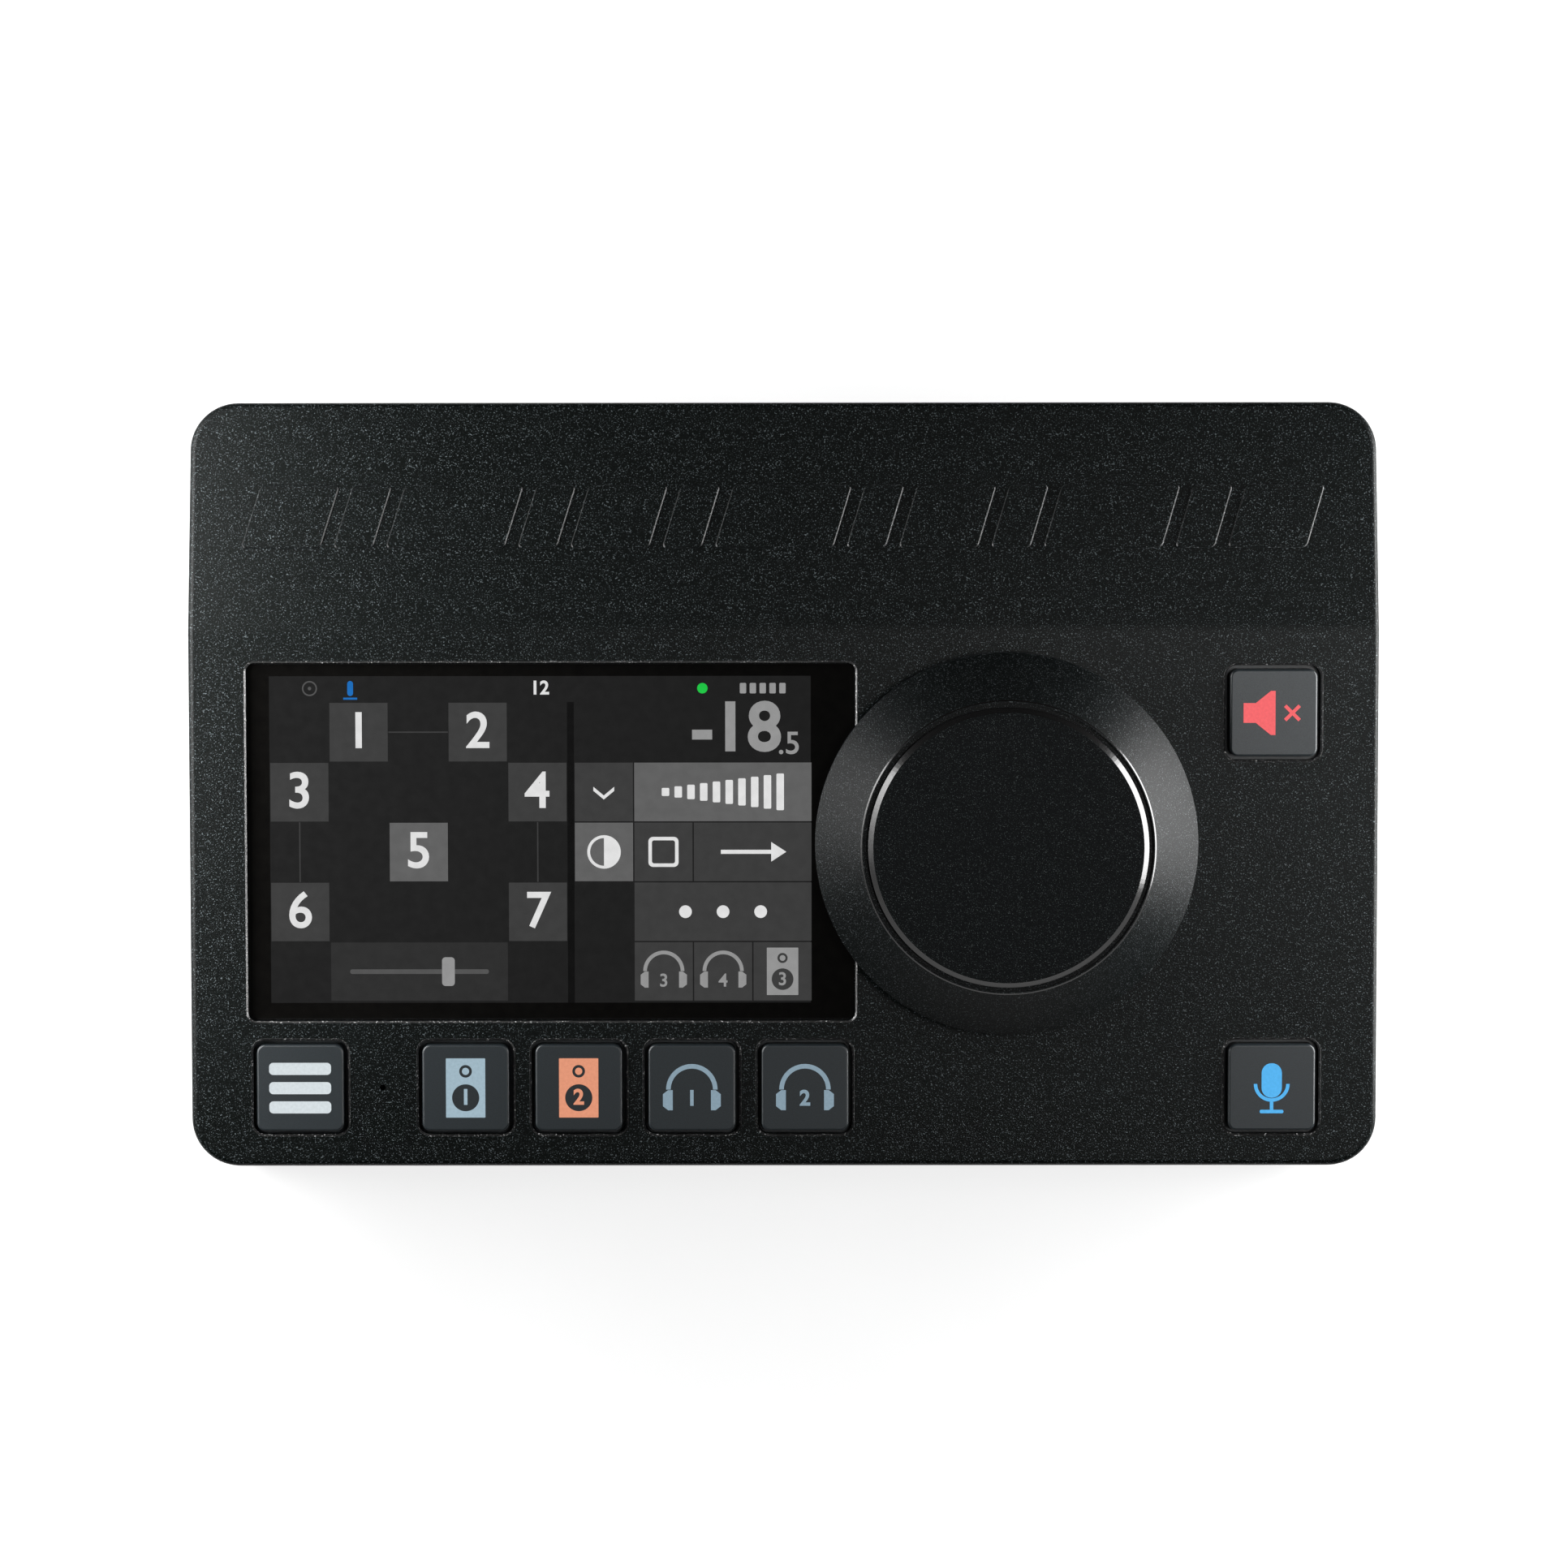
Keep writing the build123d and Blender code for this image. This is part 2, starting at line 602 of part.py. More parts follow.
def feet():
    foot = turned([
        (0, 0),
        (FOOT_RADIUS - FOOT_BEVEL, 0),
        (FOOT_RADIUS, FOOT_BEVEL),
        (FOOT_RADIUS, FOOT_HEIGHT),
        (0, FOOT_HEIGHT),
    ])
    x = half_width - FOOT_SIDE_INSET
    y = rear_y - FOOT_END_INSET
    return [Pos(i * x, j * y, 0) * foot for i in (-1, 1) for j in (-1, 1)]


# ---- Front and rear panels -------------------------------------------------------------------
def panel(top, thickness):
    """Flat plate that stands on the base behind its opening, in its own frame."""
    bottom = base_top + PANEL_ROOM
    outline = Pos(0, (bottom + top) / 2) * Rectangle(2 * panel_half, top - bottom)
    return extrude(outline, -thickness)


def front_panel():
    hole = rod(JACK_NOSE_RADIUS + HOLE_ROOM, -2 * FRONT_PANEL, FRONT_PANEL)
    holes = [Pos(x, jack_z, 0) * hole for x in FRONT_JACKS.values()]
    return FRONT * (panel(front_opening_top + PANEL_TOP_LAP, FRONT_PANEL) - holes)


def rear_panels():
    """Plates of the inputs and of the outputs, which meet at a seam between the small sockets."""
    nose = rod(JACK_NOSE_RADIUS + HOLE_ROOM, -2 * REAR_PANEL, REAR_PANEL)
    round_hole = rod(XLR_BODY_RADIUS + HOLE_ROOM, -2 * REAR_PANEL, REAR_PANEL)
    network = block(
        NETWORK_WIDTH + 2 * HOLE_ROOM, NETWORK_HEIGHT + 2 * HOLE_ROOM, -2 * REAR_PANEL, REAR_PANEL
    )
    inlet = block(
        INLET_WIDTH + 2 * HOLE_ROOM, INLET_HEIGHT + 2 * HOLE_ROOM, -2 * REAR_PANEL, REAR_PANEL
    )
    cutters = [Pos(-x, jack_z, 0) * nose for x in LINE_JACKS.values()]
    cutters += [Pos(-x, XLR_HEIGHT, 0) * round_hole for x in XLR_PLACES]
    cutters += [
        Pos(-x, XLR_HEIGHT, 0) * hole for x in XLR_PLACES for hole in xlr_screw_holes(REAR_PANEL)
    ]
    cutters += [Pos(-network_x, network_z, 0) * network, Pos(-inlet_x, inlet_z, 0) * inlet]
    whole = REAR * (panel(rear_opening_top + PANEL_TOP_LAP, REAR_PANEL) - cutters)
    half = block(WIDTH, WIDTH, base_bottom, CREASE_HEIGHT)
    reach = (WIDTH + PANEL_SEAM) / 2
    return [whole & Pos(seam_x + side * reach, rear_panel_face, 0) * half for side in (1, -1)]


# ---- Display ---------------------------------------------------------------------------------
def display_glass():
    glass = block(
        DISPLAY_WIDTH - 2 * GLASS_ROOM,
        DISPLAY_DEPTH - 2 * GLASS_ROOM,
        glass_bottom,
        -GLASS_SUNK,
        DISPLAY_RADIUS - GLASS_ROOM,
    )
    return on_deck(display_u, display_v) * glass


def display_gasket():
    sheet = block(
        DISPLAY_WIDTH - 2 * GLASS_ROOM,
        DISPLAY_DEPTH - 2 * GLASS_ROOM,
        ledge_n,
        glass_bottom,
        DISPLAY_RADIUS - GLASS_ROOM,
    )
    window = block(window_width, window_depth, -ROOF, 0)
    return on_deck(display_u, display_v) * sheet - on_deck(window_u, window_v) * window


def display_module():
    module = block(
        window_width - 2 * MODULE_ROOM, window_depth - 2 * MODULE_ROOM, module_bottom, glass_bottom
    )
    return on_deck(window_u, window_v) * module


def display_ribbon():
    """Flat tail between the display module and the control board."""
    return on_deck(window_u, window_v) * block(DISPLAY_TAIL_WIDTH, TAIL, board_top, module_bottom)


# ---- Control board ---------------------------------------------------------------------------
def control_board():
    length = board_rear_v - CONTROL_BOARD_FRONT
    board = on_deck(0, CONTROL_BOARD_FRONT + length / 2) * block(
        2 * board_half, length, board_bottom, board_top
    )
    hole = rod(BOSS_SCREW_RADIUS + BOARD_HOLE_ROOM, board_bottom - 1, board_top + 1)
    return board - [on_deck(u, v) * hole for u, v in BOSSES]


def control_board_screws():
    """Screws from below, through the board into the cast bosses."""
    length = BOARD + BOSS_BORE_DEPTH - BOSS_HEAD_HEIGHT
    body = screw(BOSS_SCREW_RADIUS, BOSS_HEAD_RADIUS, BOSS_HEAD_HEIGHT, length)
    upward = Pos(0, 0, board_bottom) * Rot(180, 0, 0) * body
    return [on_deck(u, v) * upward for u, v in BOSSES]


def key_switches():
    body = block(SWITCH_SIZE, SWITCH_SIZE, board_top, switch_top)
    body -= rod(PLUNGER_RADIUS + PLUNGER_ROOM, board_top + SWITCH_FLOOR, switch_top + 1)
    return [on_deck(u, v) * body for u, v in KEYS.values()]


def control_ribbon():
    """Flat cable between the two boards, with a slanted middle."""
    upper_y = front_y + RIBBON_TOP_V * cos(slope) - board_bottom * sin(slope)
    upper_z = front_edge_z + RIBBON_TOP_V * sin(slope) + board_bottom * cos(slope)
    upper_z -= RIBBON / 2 * tan(slope)
    lower_y = upper_y - RIBBON_SHIFT
    centre = [
        (upper_y, upper_z),
        (upper_y, upper_z - RIBBON_STRAIGHT),
        (lower_y, main_board_top + RIBBON_STRAIGHT),
        (lower_y, main_board_top),
    ]
    ahead = [(y - RIBBON / 2, z) for y, z in centre]
    behind = [(y + RIBBON / 2, z) for y, z in reversed(centre)]
    strip = extrude(Plane.YZ * make_face(Polyline(*ahead, *behind, close=True)), RIBBON_WIDTH)
    return Pos(knob_u - RIBBON_WIDTH / 2, 0, 0) * strip


# ---- Keys ------------------------------------------------------------------------------------
def keycap():
    """Hollow square cap with a flange that stays under the deck and a stem over the switch."""
    size = KEY_OPENING - 2 * KEY_GAP
    flange = KEY_OPENING + 2 * KEY_FLANGE_LAP
    hollow = size - 2 * KEY_WALL
    cap = block(size, size, flange_bottom, KEY_PROUD, KEY_RADIUS)
    cap = fillet(cap.faces().sort_by(Axis.Z)[-1].edges(), KEY_EDGE)
    cap += block(flange, flange, flange_bottom, flange_top, KEY_OPENING_RADIUS)
    cap -= block(hollow, hollow, flange_bottom, KEY_PROUD - KEY_SKIN)
    return cap + block(KEY_STEM, KEY_STEM, plunger_top, KEY_PROUD - KEY_SKIN)


def plunger():
    """Moving part of a key switch, under the stem of its cap."""
    return rod(PLUNGER_RADIUS, board_top + SWITCH_FLOOR + KEY_TRAVEL + PLUNGER_SPARE, plunger_top)


# ---- Talkback microphone ---------------------------------------------------------------------
def talkback_mic():
    top = -ROOF - MIC_SUNK
    return on_deck(mic_u, KEY_ROW_FRONT) * rod(MIC_RADIUS, top - MIC_HEIGHT, top)


def mic_boot():
    """Rubber cup that holds the microphone between the deck and the control board."""
    floor = -ROOF - MIC_SUNK - MIC_HEIGHT
    cup = rod(MIC_RADIUS + MIC_ROOM + MIC_BOOT_WALL, board_top, -ROOF)
    return on_deck(mic_u, KEY_ROW_FRONT) * (cup - rod(MIC_RADIUS + MIC_ROOM, floor, 0))


# ---- Volume knob and encoder -----------------------------------------------------------------
rim_top = KNOB_LIFT + KNOB_RIM
knob_top = rim_top + KNOB_CONE
cap_floor = knob_top - KNOB_GROOVE
web_bottom = cap_floor - KNOB_WEB
shaft_top = web_bottom - SHAFT_END_ROOM


def volume_knob():
    """Hollow turned knob: upright rim, cone, recess for the top disc, and a hub on the shaft."""
    spread = KNOB_RADIUS - KNOB_TOP_RADIUS
    drop = KNOB_SHELL * (spread**2 + KNOB_CONE**2) ** 0.5 / spread
    inner = KNOB_RADIUS - KNOB_SHELL
    inner_corner = rim_top + KNOB_SHELL * KNOB_CONE / spread - drop
    web_radius = inner - (web_bottom - inner_corner) * spread / KNOB_CONE
    fit = SHAFT_RADIUS + SHAFT_FIT
    screw_hole = SCREW_RADIUS + SCREW_ROOM
    body = turned([
        (fit, HUB_LIFT),
        (fit, web_bottom),
        (screw_hole, web_bottom),
        (screw_hole, cap_floor - SCREW_HEAD_HEIGHT),
        (SCREW_HEAD_RADIUS + SCREW_ROOM, cap_floor),
        (KNOB_TOP_RADIUS - KNOB_LIP, cap_floor),
        (KNOB_TOP_RADIUS - KNOB_LIP, knob_top),
        (KNOB_TOP_RADIUS, knob_top),
        (KNOB_RADIUS, rim_top),
        (KNOB_RADIUS, KNOB_LIFT + KNOB_BEVEL),
        (KNOB_RADIUS - KNOB_BEVEL, KNOB_LIFT),
        (inner, KNOB_LIFT),
        (inner, inner_corner),
        (web_radius, web_bottom),
        (HUB_RADIUS, web_bottom),
        (HUB_RADIUS, HUB_LIFT),
    ])
    return on_deck(knob_u, knob_v) * body


def knob_cap():
    radius = KNOB_TOP_RADIUS - KNOB_LIP - KNOB_GROOVE
    disc = turned([
        (0, cap_floor),
        (radius, cap_floor),
        (radius, cap_floor + CAP_THICKNESS - CAP_BEVEL),
        (radius - CAP_BEVEL, cap_floor + CAP_THICKNESS),
        (0, cap_floor + CAP_THICKNESS),
    ])
    return on_deck(knob_u, knob_v) * disc


def knob_screw():
    """Countersunk screw through the knob's web into the end of the shaft."""
    body = countersunk(SCREW_RADIUS, SCREW_HEAD_RADIUS, SCREW_HEAD_HEIGHT, KNOB_SCREW_LENGTH)
    body -= hexagon(DRIVE_FLATS, 0, DRIVE_DEPTH)
    return on_deck(knob_u, knob_v) * Pos(0, 0, cap_floor) * Rot(180, 0, 0) * body


def encoder_shaft():
    shaft = rod(SHAFT_RADIUS, -ROOF - SHAFT_DEPTH, shaft_top)
    tap = rod(SCREW_RADIUS + THREAD_ROOM, shaft_top - SHAFT_TAP_DEPTH, shaft_top + 1)
    return on_deck(knob_u, knob_v) * (shaft - tap)


def encoder_body():
    body = block(ENCODER_SIZE, ENCODER_SIZE, board_top, -ROOF)
    well = rod(SHAFT_RADIUS + SHAFT_ROOM, -ROOF - SHAFT_DEPTH - SHAFT_END_ROOM, 0)
    return on_deck(knob_u, knob_v) * (body - well)


def encoder_bushing():
    tube = rod(BUSHING_RADIUS, -ROOF, BUSHING_LIFT) - rod(SHAFT_RADIUS + SHAFT_ROOM, -ROOF, HUB_LIFT)
    return on_deck(knob_u, knob_v) * tube


def encoder_nut():
    nut = hex_nut(NUT_FLATS, BUSHING_RADIUS + BUSHING_ROOM, NUT_HEIGHT)
    return on_deck(knob_u, knob_v) * nut


# ---- Main board ------------------------------------------------------------------------------
def main_board():
    length = main_board_rear - main_board_front
    board = Pos(0, main_board_front + length / 2, 0) * block(
        2 * main_board_half, length, main_board_bottom, main_board_top
    )
    hole = rod(SCREW_RADIUS + BOARD_HOLE_ROOM, main_board_bottom - 1, main_board_top + 1)
    return board - [Pos(x, y, 0) * hole for x, y in STANDOFFS]


def board_standoffs():
    post = rod(STANDOFF_RADIUS, base_top, main_board_bottom)
    post -= rod(SCREW_RADIUS + THREAD_ROOM, base_top, main_board_bottom)
    return [Pos(x, y, 0) * post for x, y in STANDOFFS]


def main_board_screws():
    body = screw(SCREW_RADIUS, SCREW_HEAD_RADIUS, SCREW_HEAD_HEIGHT, STANDOFF_SCREW_LENGTH)
    return [Pos(x, y, main_board_top) * body for x, y in STANDOFFS]


def board_chips():
    """Processor in the middle, and a converter behind each group of sockets."""
    top = main_board_top
    chips = [Pos(0, PROCESSOR_Y, 0) * block(PROCESSOR, PROCESSOR, top, top + PROCESSOR_HEIGHT)]
    converter = block(CONVERTER, CONVERTER, top, top + CONVERTER_HEIGHT)
    for x in (-converter_x, converter_x):
        for y in (CONVERTER_FRONT_Y, CONVERTER_REAR_Y):
            chips.append(Pos(x, y, 0) * converter)
    return chips


# ---- Sockets, each in the frame of its panel ---------------------------------------------------
def jack(panel_thickness):
    """Quarter-inch socket: body behind the panel and threaded nose through it."""
    end = JACK_NOSE - JACK_BORE_DEPTH
    body = block(JACK_WIDTH, JACK_HEIGHT, end - JACK_END, -panel_thickness)
    body += rod(JACK_NOSE_RADIUS, -panel_thickness, JACK_NOSE)
    return body - rod(JACK_BORE_RADIUS, end, JACK_NOSE + 1)


def jack_nuts():
    nut = hex_nut(JACK_NUT_FLATS, JACK_NOSE_RADIUS + HOLE_ROOM, JACK_NUT)
    front = [on_front(x, jack_z) * nut for x in FRONT_JACKS.values()]
    return front + [on_rear(x, jack_z) * nut for x in LINE_JACKS.values()]


def xlr_screw_holes(panel_thickness):
    hole = rod(SCREW_RADIUS + SCREW_ROOM, -2 * panel_thickness, 2 * XLR_FLANGE)
    return [Pos(i * XLR_SCREW_X, -i * XLR_SCREW_Z, 0) * hole for i in (-1, 1)]


def xlr_shell(cup_depth, floor):
    """Round connector body with a square flange on the panel and an open cup."""
    cup_floor = XLR_FLANGE - cup_depth
    body = block(XLR_FLANGE_WIDTH, XLR_FLANGE_HEIGHT, 0, XLR_FLANGE, XLR_FLANGE_RADIUS)
    body += rod(XLR_BODY_RADIUS, cup_floor - floor, 0)
    return body - rod(XLR_CUP_RADIUS, cup_floor, 2 * XLR_FLANGE) - xlr_screw_holes(REAR_PANEL)


def combo_input():
    """Shell of a combined input: a cup for the round plug, and a rear block for the jack plug."""
    cup_floor = XLR_FLANGE - COMBO_CUP_DEPTH
    bore_end = XLR_FLANGE - COMBO_INSERT_SUNK - JACK_BORE_DEPTH
    body = xlr_shell(COMBO_CUP_DEPTH, COMBO_FLOOR)
    body += block(
        COMBO_REAR_WIDTH, COMBO_REAR_HEIGHT, bore_end - JACK_END, cup_floor - COMBO_FLOOR
    )
    body += Pos(0, (COMBO_TAB_INNER + COMBO_TAB_OUTER) / 2, 0) * block(
        COMBO_TAB_WIDTH,
        COMBO_TAB_OUTER - COMBO_TAB_INNER,
        XLR_FLANGE - COMBO_TAB_SUNK,
        XLR_FLANGE + COMBO_TAB_PROUD,
        COMBO_TAB_PROUD,
    )
    return body - rod(JACK_BORE_RADIUS, bore_end, cup_floor + 1)


def around(circle, solid):
    """Three copies around the axis, with the last one at the bottom."""
    places = PolarLocations(circle, 3, start_angle=30, rotate=False)
    return [place * solid for place in places]


def combo_insert():
    """Middle of a combined input: jack bore with three pin holes around it."""
    bottom = XLR_FLANGE - COMBO_CUP_DEPTH
    top = XLR_FLANGE - COMBO_INSERT_SUNK
    body = rod(COMBO_INSERT_RADIUS, bottom, top) - rod(JACK_BORE_RADIUS, bottom, top)
    return body - around(COMBO_PIN_CIRCLE, rod(COMBO_PIN_RADIUS, top - COMBO_PIN_DEPTH, top))


def main_output():
    catch = block(CATCH_WIDTH, 2 * CATCH_DEPTH, XLR_FLANGE - CATCH_LENGTH, 2 * XLR_FLANGE)
    return xlr_shell(OUTPUT_CUP_DEPTH, OUTPUT_FLOOR) - Pos(0, XLR_CUP_RADIUS, 0) * catch


def output_pins():
    bevel = OUTPUT_PIN_RADIUS / 2
    pin = Pos(0, 0, XLR_FLANGE - OUTPUT_CUP_DEPTH) * turned([
        (0, 0),
        (OUTPUT_PIN_RADIUS, 0),
        (OUTPUT_PIN_RADIUS, OUTPUT_PIN - bevel),
        (OUTPUT_PIN_RADIUS - bevel, OUTPUT_PIN),
        (0, OUTPUT_PIN),
    ])
    return [
        on_rear(x, XLR_HEIGHT) * each for x in OUTPUTS.values() for each in around(OUTPUT_PIN_CIRCLE, pin)
    ]


def connector_screws():
    body = screw(SCREW_RADIUS, SCREW_HEAD_RADIUS, SCREW_HEAD_HEIGHT, XLR_SCREW_LENGTH)
    return [
        on_rear(x, XLR_HEIGHT) * Pos(i * XLR_SCREW_X, -i * XLR_SCREW_Z, XLR_FLANGE) * body
        for x in XLR_PLACES
        for i in (-1, 1)
    ]


def network_jack():
    """Box with a stepped mouth: the plug above, its latch below."""
    body = block(NETWORK_WIDTH, NETWORK_HEIGHT, -NETWORK_LENGTH, SOCKET_PROUD)
    floor = SOCKET_PROUD - NETWORK_MOUTH_DEPTH
    raised = NETWORK_LATCH_HEIGHT / 2
    mouth = Pos(0, raised, 0) * block(NETWORK_MOUTH_WIDTH, NETWORK_MOUTH_HEIGHT, floor, 1)
    latch = Pos(0, raised - NETWORK_MOUTH_HEIGHT / 2, 0) * block(
        NETWORK_LATCH_WIDTH, 2 * NETWORK_LATCH_HEIGHT, floor, 1
    )
    return body - mouth - latch


def power_inlet():
    body = block(INLET_WIDTH, INLET_HEIGHT, -INLET_LENGTH, SOCKET_PROUD)
    return body - rod(INLET_RADIUS, SOCKET_PROUD - INLET_DEPTH, 1)


def inlet_pin():
    floor = SOCKET_PROUD - INLET_DEPTH
    return rod(INLET_PIN_RADIUS, floor, floor + INLET_PIN)


# ---- Files -----------------------------------------------------------------------------------
os.makedirs("parts", exist_ok=True)
write("top_housing", top_housing())
write("base_plate", base_plate())
write("mic_stand_bush", stand_bush())
write("feet", *feet())
write("base_screws", *[Pos(x, y, 0) * base_screw() for x, y in POSTS])
write("front_panel", front_panel())
for name, plate in zip(("rear_input_panel", "rear_output_panel"), rear_panels()):
    write(name, plate)
write("display_glass", display_glass())
write("display_gasket", display_gasket())
write("display_module", display_module())
write("display_ribbon", display_ribbon())
write("control_board", control_board())
write("control_ribbon", control_ribbon())
write("key_switches", *key_switches())
write("talkback_mic", talkback_mic())
write("mic_boot", mic_boot())
write("encoder_body", encoder_body())
write("encoder_bushing", encoder_bushing())
write("encoder_nut", encoder_nut())
write("encoder_shaft", encoder_shaft())
write("volume_knob", volume_knob())
write("knob_cap", knob_cap())
write("knob_screw", knob_screw())
for name, (u, v) in KEYS.items():
    write(f"{name}_keycap", on_deck(u, v) * keycap())
    write(f"{name}_plunger", on_deck(u, v) * plunger())
write("main_board", main_board())
write("board_standoffs", *board_standoffs())
write("board_screws", *control_board_screws(), *main_board_screws())
write("board_chips", *board_chips())
for name, x in FRONT_JACKS.items():
    write(name, on_front(x, jack_z) * jack(FRONT_PANEL))
for name, x in LINE_JACKS.items():
    write(name, on_rear(x, jack_z) * jack(REAR_PANEL))
write("jack_nuts", *jack_nuts())
for name, x in COMBOS.items():
    write(f"combo_input_{name}", on_rear(x, XLR_HEIGHT) * combo_input())
    write(f"combo_insert_{name}", on_rear(x, XLR_HEIGHT) * combo_insert())
for name, x in OUTPUTS.items():
    write(f"main_output_{name}", on_rear(x, XLR_HEIGHT) * main_output())
write("output_pins", *output_pins())
write("connector_screws", *connector_screws())
write("network_jack", on_rear(network_x, network_z) * network_jack())
write("power_inlet", on_rear(inlet_x, inlet_z) * power_inlet())
write("inlet_pin", on_rear(inlet_x, inlet_z) * inlet_pin())
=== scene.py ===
import json
import math

import bpy
from mathutils import Matrix, Vector
from mathutils.geometry import intersect_plane_plane


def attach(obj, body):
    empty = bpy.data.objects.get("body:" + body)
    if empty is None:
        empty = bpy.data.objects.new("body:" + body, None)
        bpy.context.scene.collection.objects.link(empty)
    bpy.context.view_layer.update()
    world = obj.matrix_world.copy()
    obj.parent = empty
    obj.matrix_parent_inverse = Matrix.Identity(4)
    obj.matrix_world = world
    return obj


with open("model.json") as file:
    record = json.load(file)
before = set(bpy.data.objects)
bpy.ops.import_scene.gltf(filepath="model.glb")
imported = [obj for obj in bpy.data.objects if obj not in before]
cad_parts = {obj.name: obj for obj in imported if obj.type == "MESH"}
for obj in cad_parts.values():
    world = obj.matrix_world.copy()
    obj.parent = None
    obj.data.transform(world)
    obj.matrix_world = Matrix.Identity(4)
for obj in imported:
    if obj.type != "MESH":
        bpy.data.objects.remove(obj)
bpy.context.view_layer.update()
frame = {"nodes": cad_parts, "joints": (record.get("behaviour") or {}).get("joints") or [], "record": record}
nodes = frame["nodes"]

# Looks of the studio monitor controller. Sizes are in millimetres, and MM turns them into metres.
MM = 0.001

# ---- Camera, floor and lamps ---------------------------------------------------------------------
CAMERA_PLACE = (1.59, -76.75, 930.8)
CAMERA_TURN = (0.0866, 0.00178, -0.00074)
CAMERA_LENS = 117.64
SENSOR = 36.0
FLOOR_SIZE = 20000.0
FLOOR_GRAIN = 40.0
FLOOR_DARK = 146            # greys between which the floor's own colour varies
FLOOR_PALE = 152
FLOOR_ROUGHNESS = 0.9
FLOOR_SPECULAR = 0.1
FLOOR_LIFT = 0.8            # light added to the floor for the camera, mirrors and glass alone
WORLD_LIGHT = 0.03
LAMPS = {                   # place, width, height and radiance of each soft box
    "right_box": ((215, 14, 76), 180, 90, 18.5),
    "left_box": ((-170, 26, 120), 180, 100, 12.0),
    "top_box": ((215, -55, 735), 180, 180, 11.0),
}

# ---- The deck's own frame ------------------------------------------------------------------------
# Its origin is on the knob's axis at the face of the deck, with u to the right, v up the slope and
# n square out of the deck.
turn = next(joint for joint in frame["joints"] if joint["name"] == "volume_turn")
deck_n = Vector(turn["axis"]).normalized()
deck_u = Vector((1, 0, 0))
deck_v = deck_n.cross(deck_u)


def frame_at(origin, x_axis, y_axis, z_axis):
    """Frame with its origin at a point and with the given axes."""
    turned = Matrix((x_axis, y_axis, z_axis)).transposed().to_4x4()
    return Matrix.Translation(origin) @ turned


deck = frame_at(Vector(turn["pos_m"]), deck_u, deck_v, deck_n)
deck_inverse = deck.inverted()


def deck_box(node):
    """Lowest and highest (u, v, n) of a CAD node at rest."""
    points = [deck_inverse @ vertex.co / MM for vertex in nodes[node].data.vertices]
    lows = [min(point[i] for point in points) for i in range(3)]
    highs = [max(point[i] for point in points) for i in range(3)]
    return lows, highs


def shifted(place, x, y, z=0.0):
    """Frame moved along its own axes."""
    return place @ Matrix.Translation(Vector((x, y, z)) * MM)


# ---- Colours and material nodes ------------------------------------------------------------------
def linear(value):
    """Linear strength of one channel of a screen colour, from 0 to 255."""
    share = value / 255
    return share / 12.92 if share <= 0.04045 else ((share + 0.055) / 1.055) ** 2.4


def rgb(red, green, blue):
    """Linear colour of a screen colour with values from 0 to 255."""
    return linear(red), linear(green), linear(blue)


def grey(value):
    return rgb(value, value, value)


def new_material(name):
    """New material, with its node tree and its shader."""
    material = bpy.data.materials.new(name)
    material.use_nodes = True
    tree = material.node_tree
    return material, tree, tree.nodes["Principled BSDF"]


def add_node(tree, kind, **values):
    """New node; a value named like a socket is set there, and any other on the node itself."""
    node = tree.nodes.new(kind)
    for key, value in values.items():
        if key in node.inputs:
            node.inputs[key].default_value = value
        else:
            setattr(node, key, value)
    return node


def noise(tree, size, detail=2.0):
    """Noise with grains of about the given size, in the piece's own coordinates."""
    place = add_node(tree, "ShaderNodeTexCoord")
    texture = add_node(tree, "ShaderNodeTexNoise", Scale=1 / (size * MM), Detail=detail)
    tree.links.new(place.outputs["Object"], texture.inputs["Vector"])
    return texture.outputs["Fac"]


def ramp(tree, source, low, high, start=0.3, end=0.7):
    """Colour from low to high as the source goes from start to end."""
    node = add_node(tree, "ShaderNodeValToRGB")
    for element, position, colour in zip(node.color_ramp.elements, (start, end), (low, high)):
        element.position = position
        element.color = (*colour, 1)
    tree.links.new(source, node.inputs["Fac"])
    return node.outputs["Color"]


def spread(tree, source, low, high, start=0.3, end=0.7):
    """Number from low to high as the source goes from start to end."""
    limits = {"From Min": start, "From Max": end, "To Min": low, "To Max": high}
    node = add_node(tree, "ShaderNodeMapRange", **limits)
    tree.links.new(source, node.inputs["Value"])
    return node.outputs["Result"]


def bump(tree, shader, source, height):
    """Grain that stands up to the given height above the surface."""
    node = add_node(tree, "ShaderNodeBump", Strength=1.0, Distance=height * MM)
    tree.links.new(source, node.inputs["Height"])
    tree.links.new(node.outputs["Normal"], shader.inputs["Normal"])


def surface(name, dark, light, smooth, rough, grain, height, metallic=0.0, specular=0.5):
    """Finish whose colour, roughness and bump vary over one grain."""
    material, tree, shader = new_material(name)
    fine = noise(tree, grain)
    tree.links.new(ramp(tree, fine, dark, light), shader.inputs["Base Color"])
    tree.links.new(spread(tree, fine, rough, smooth), shader.inputs["Roughness"])
    bump(tree, shader, fine, height)
    shader.inputs["Metallic"].default_value = metallic
    shader.inputs["Specular IOR Level"].default_value = specular
    return material


LIT_DIP = 0.9               # least share of its colour that a lit area has
LIT_DARK = 12               # greys between which the lit areas vary when their light is left out
LIT_PALE = 18
LIT_ROUGHNESS = 0.8
LIT_SPECULAR = 0.05


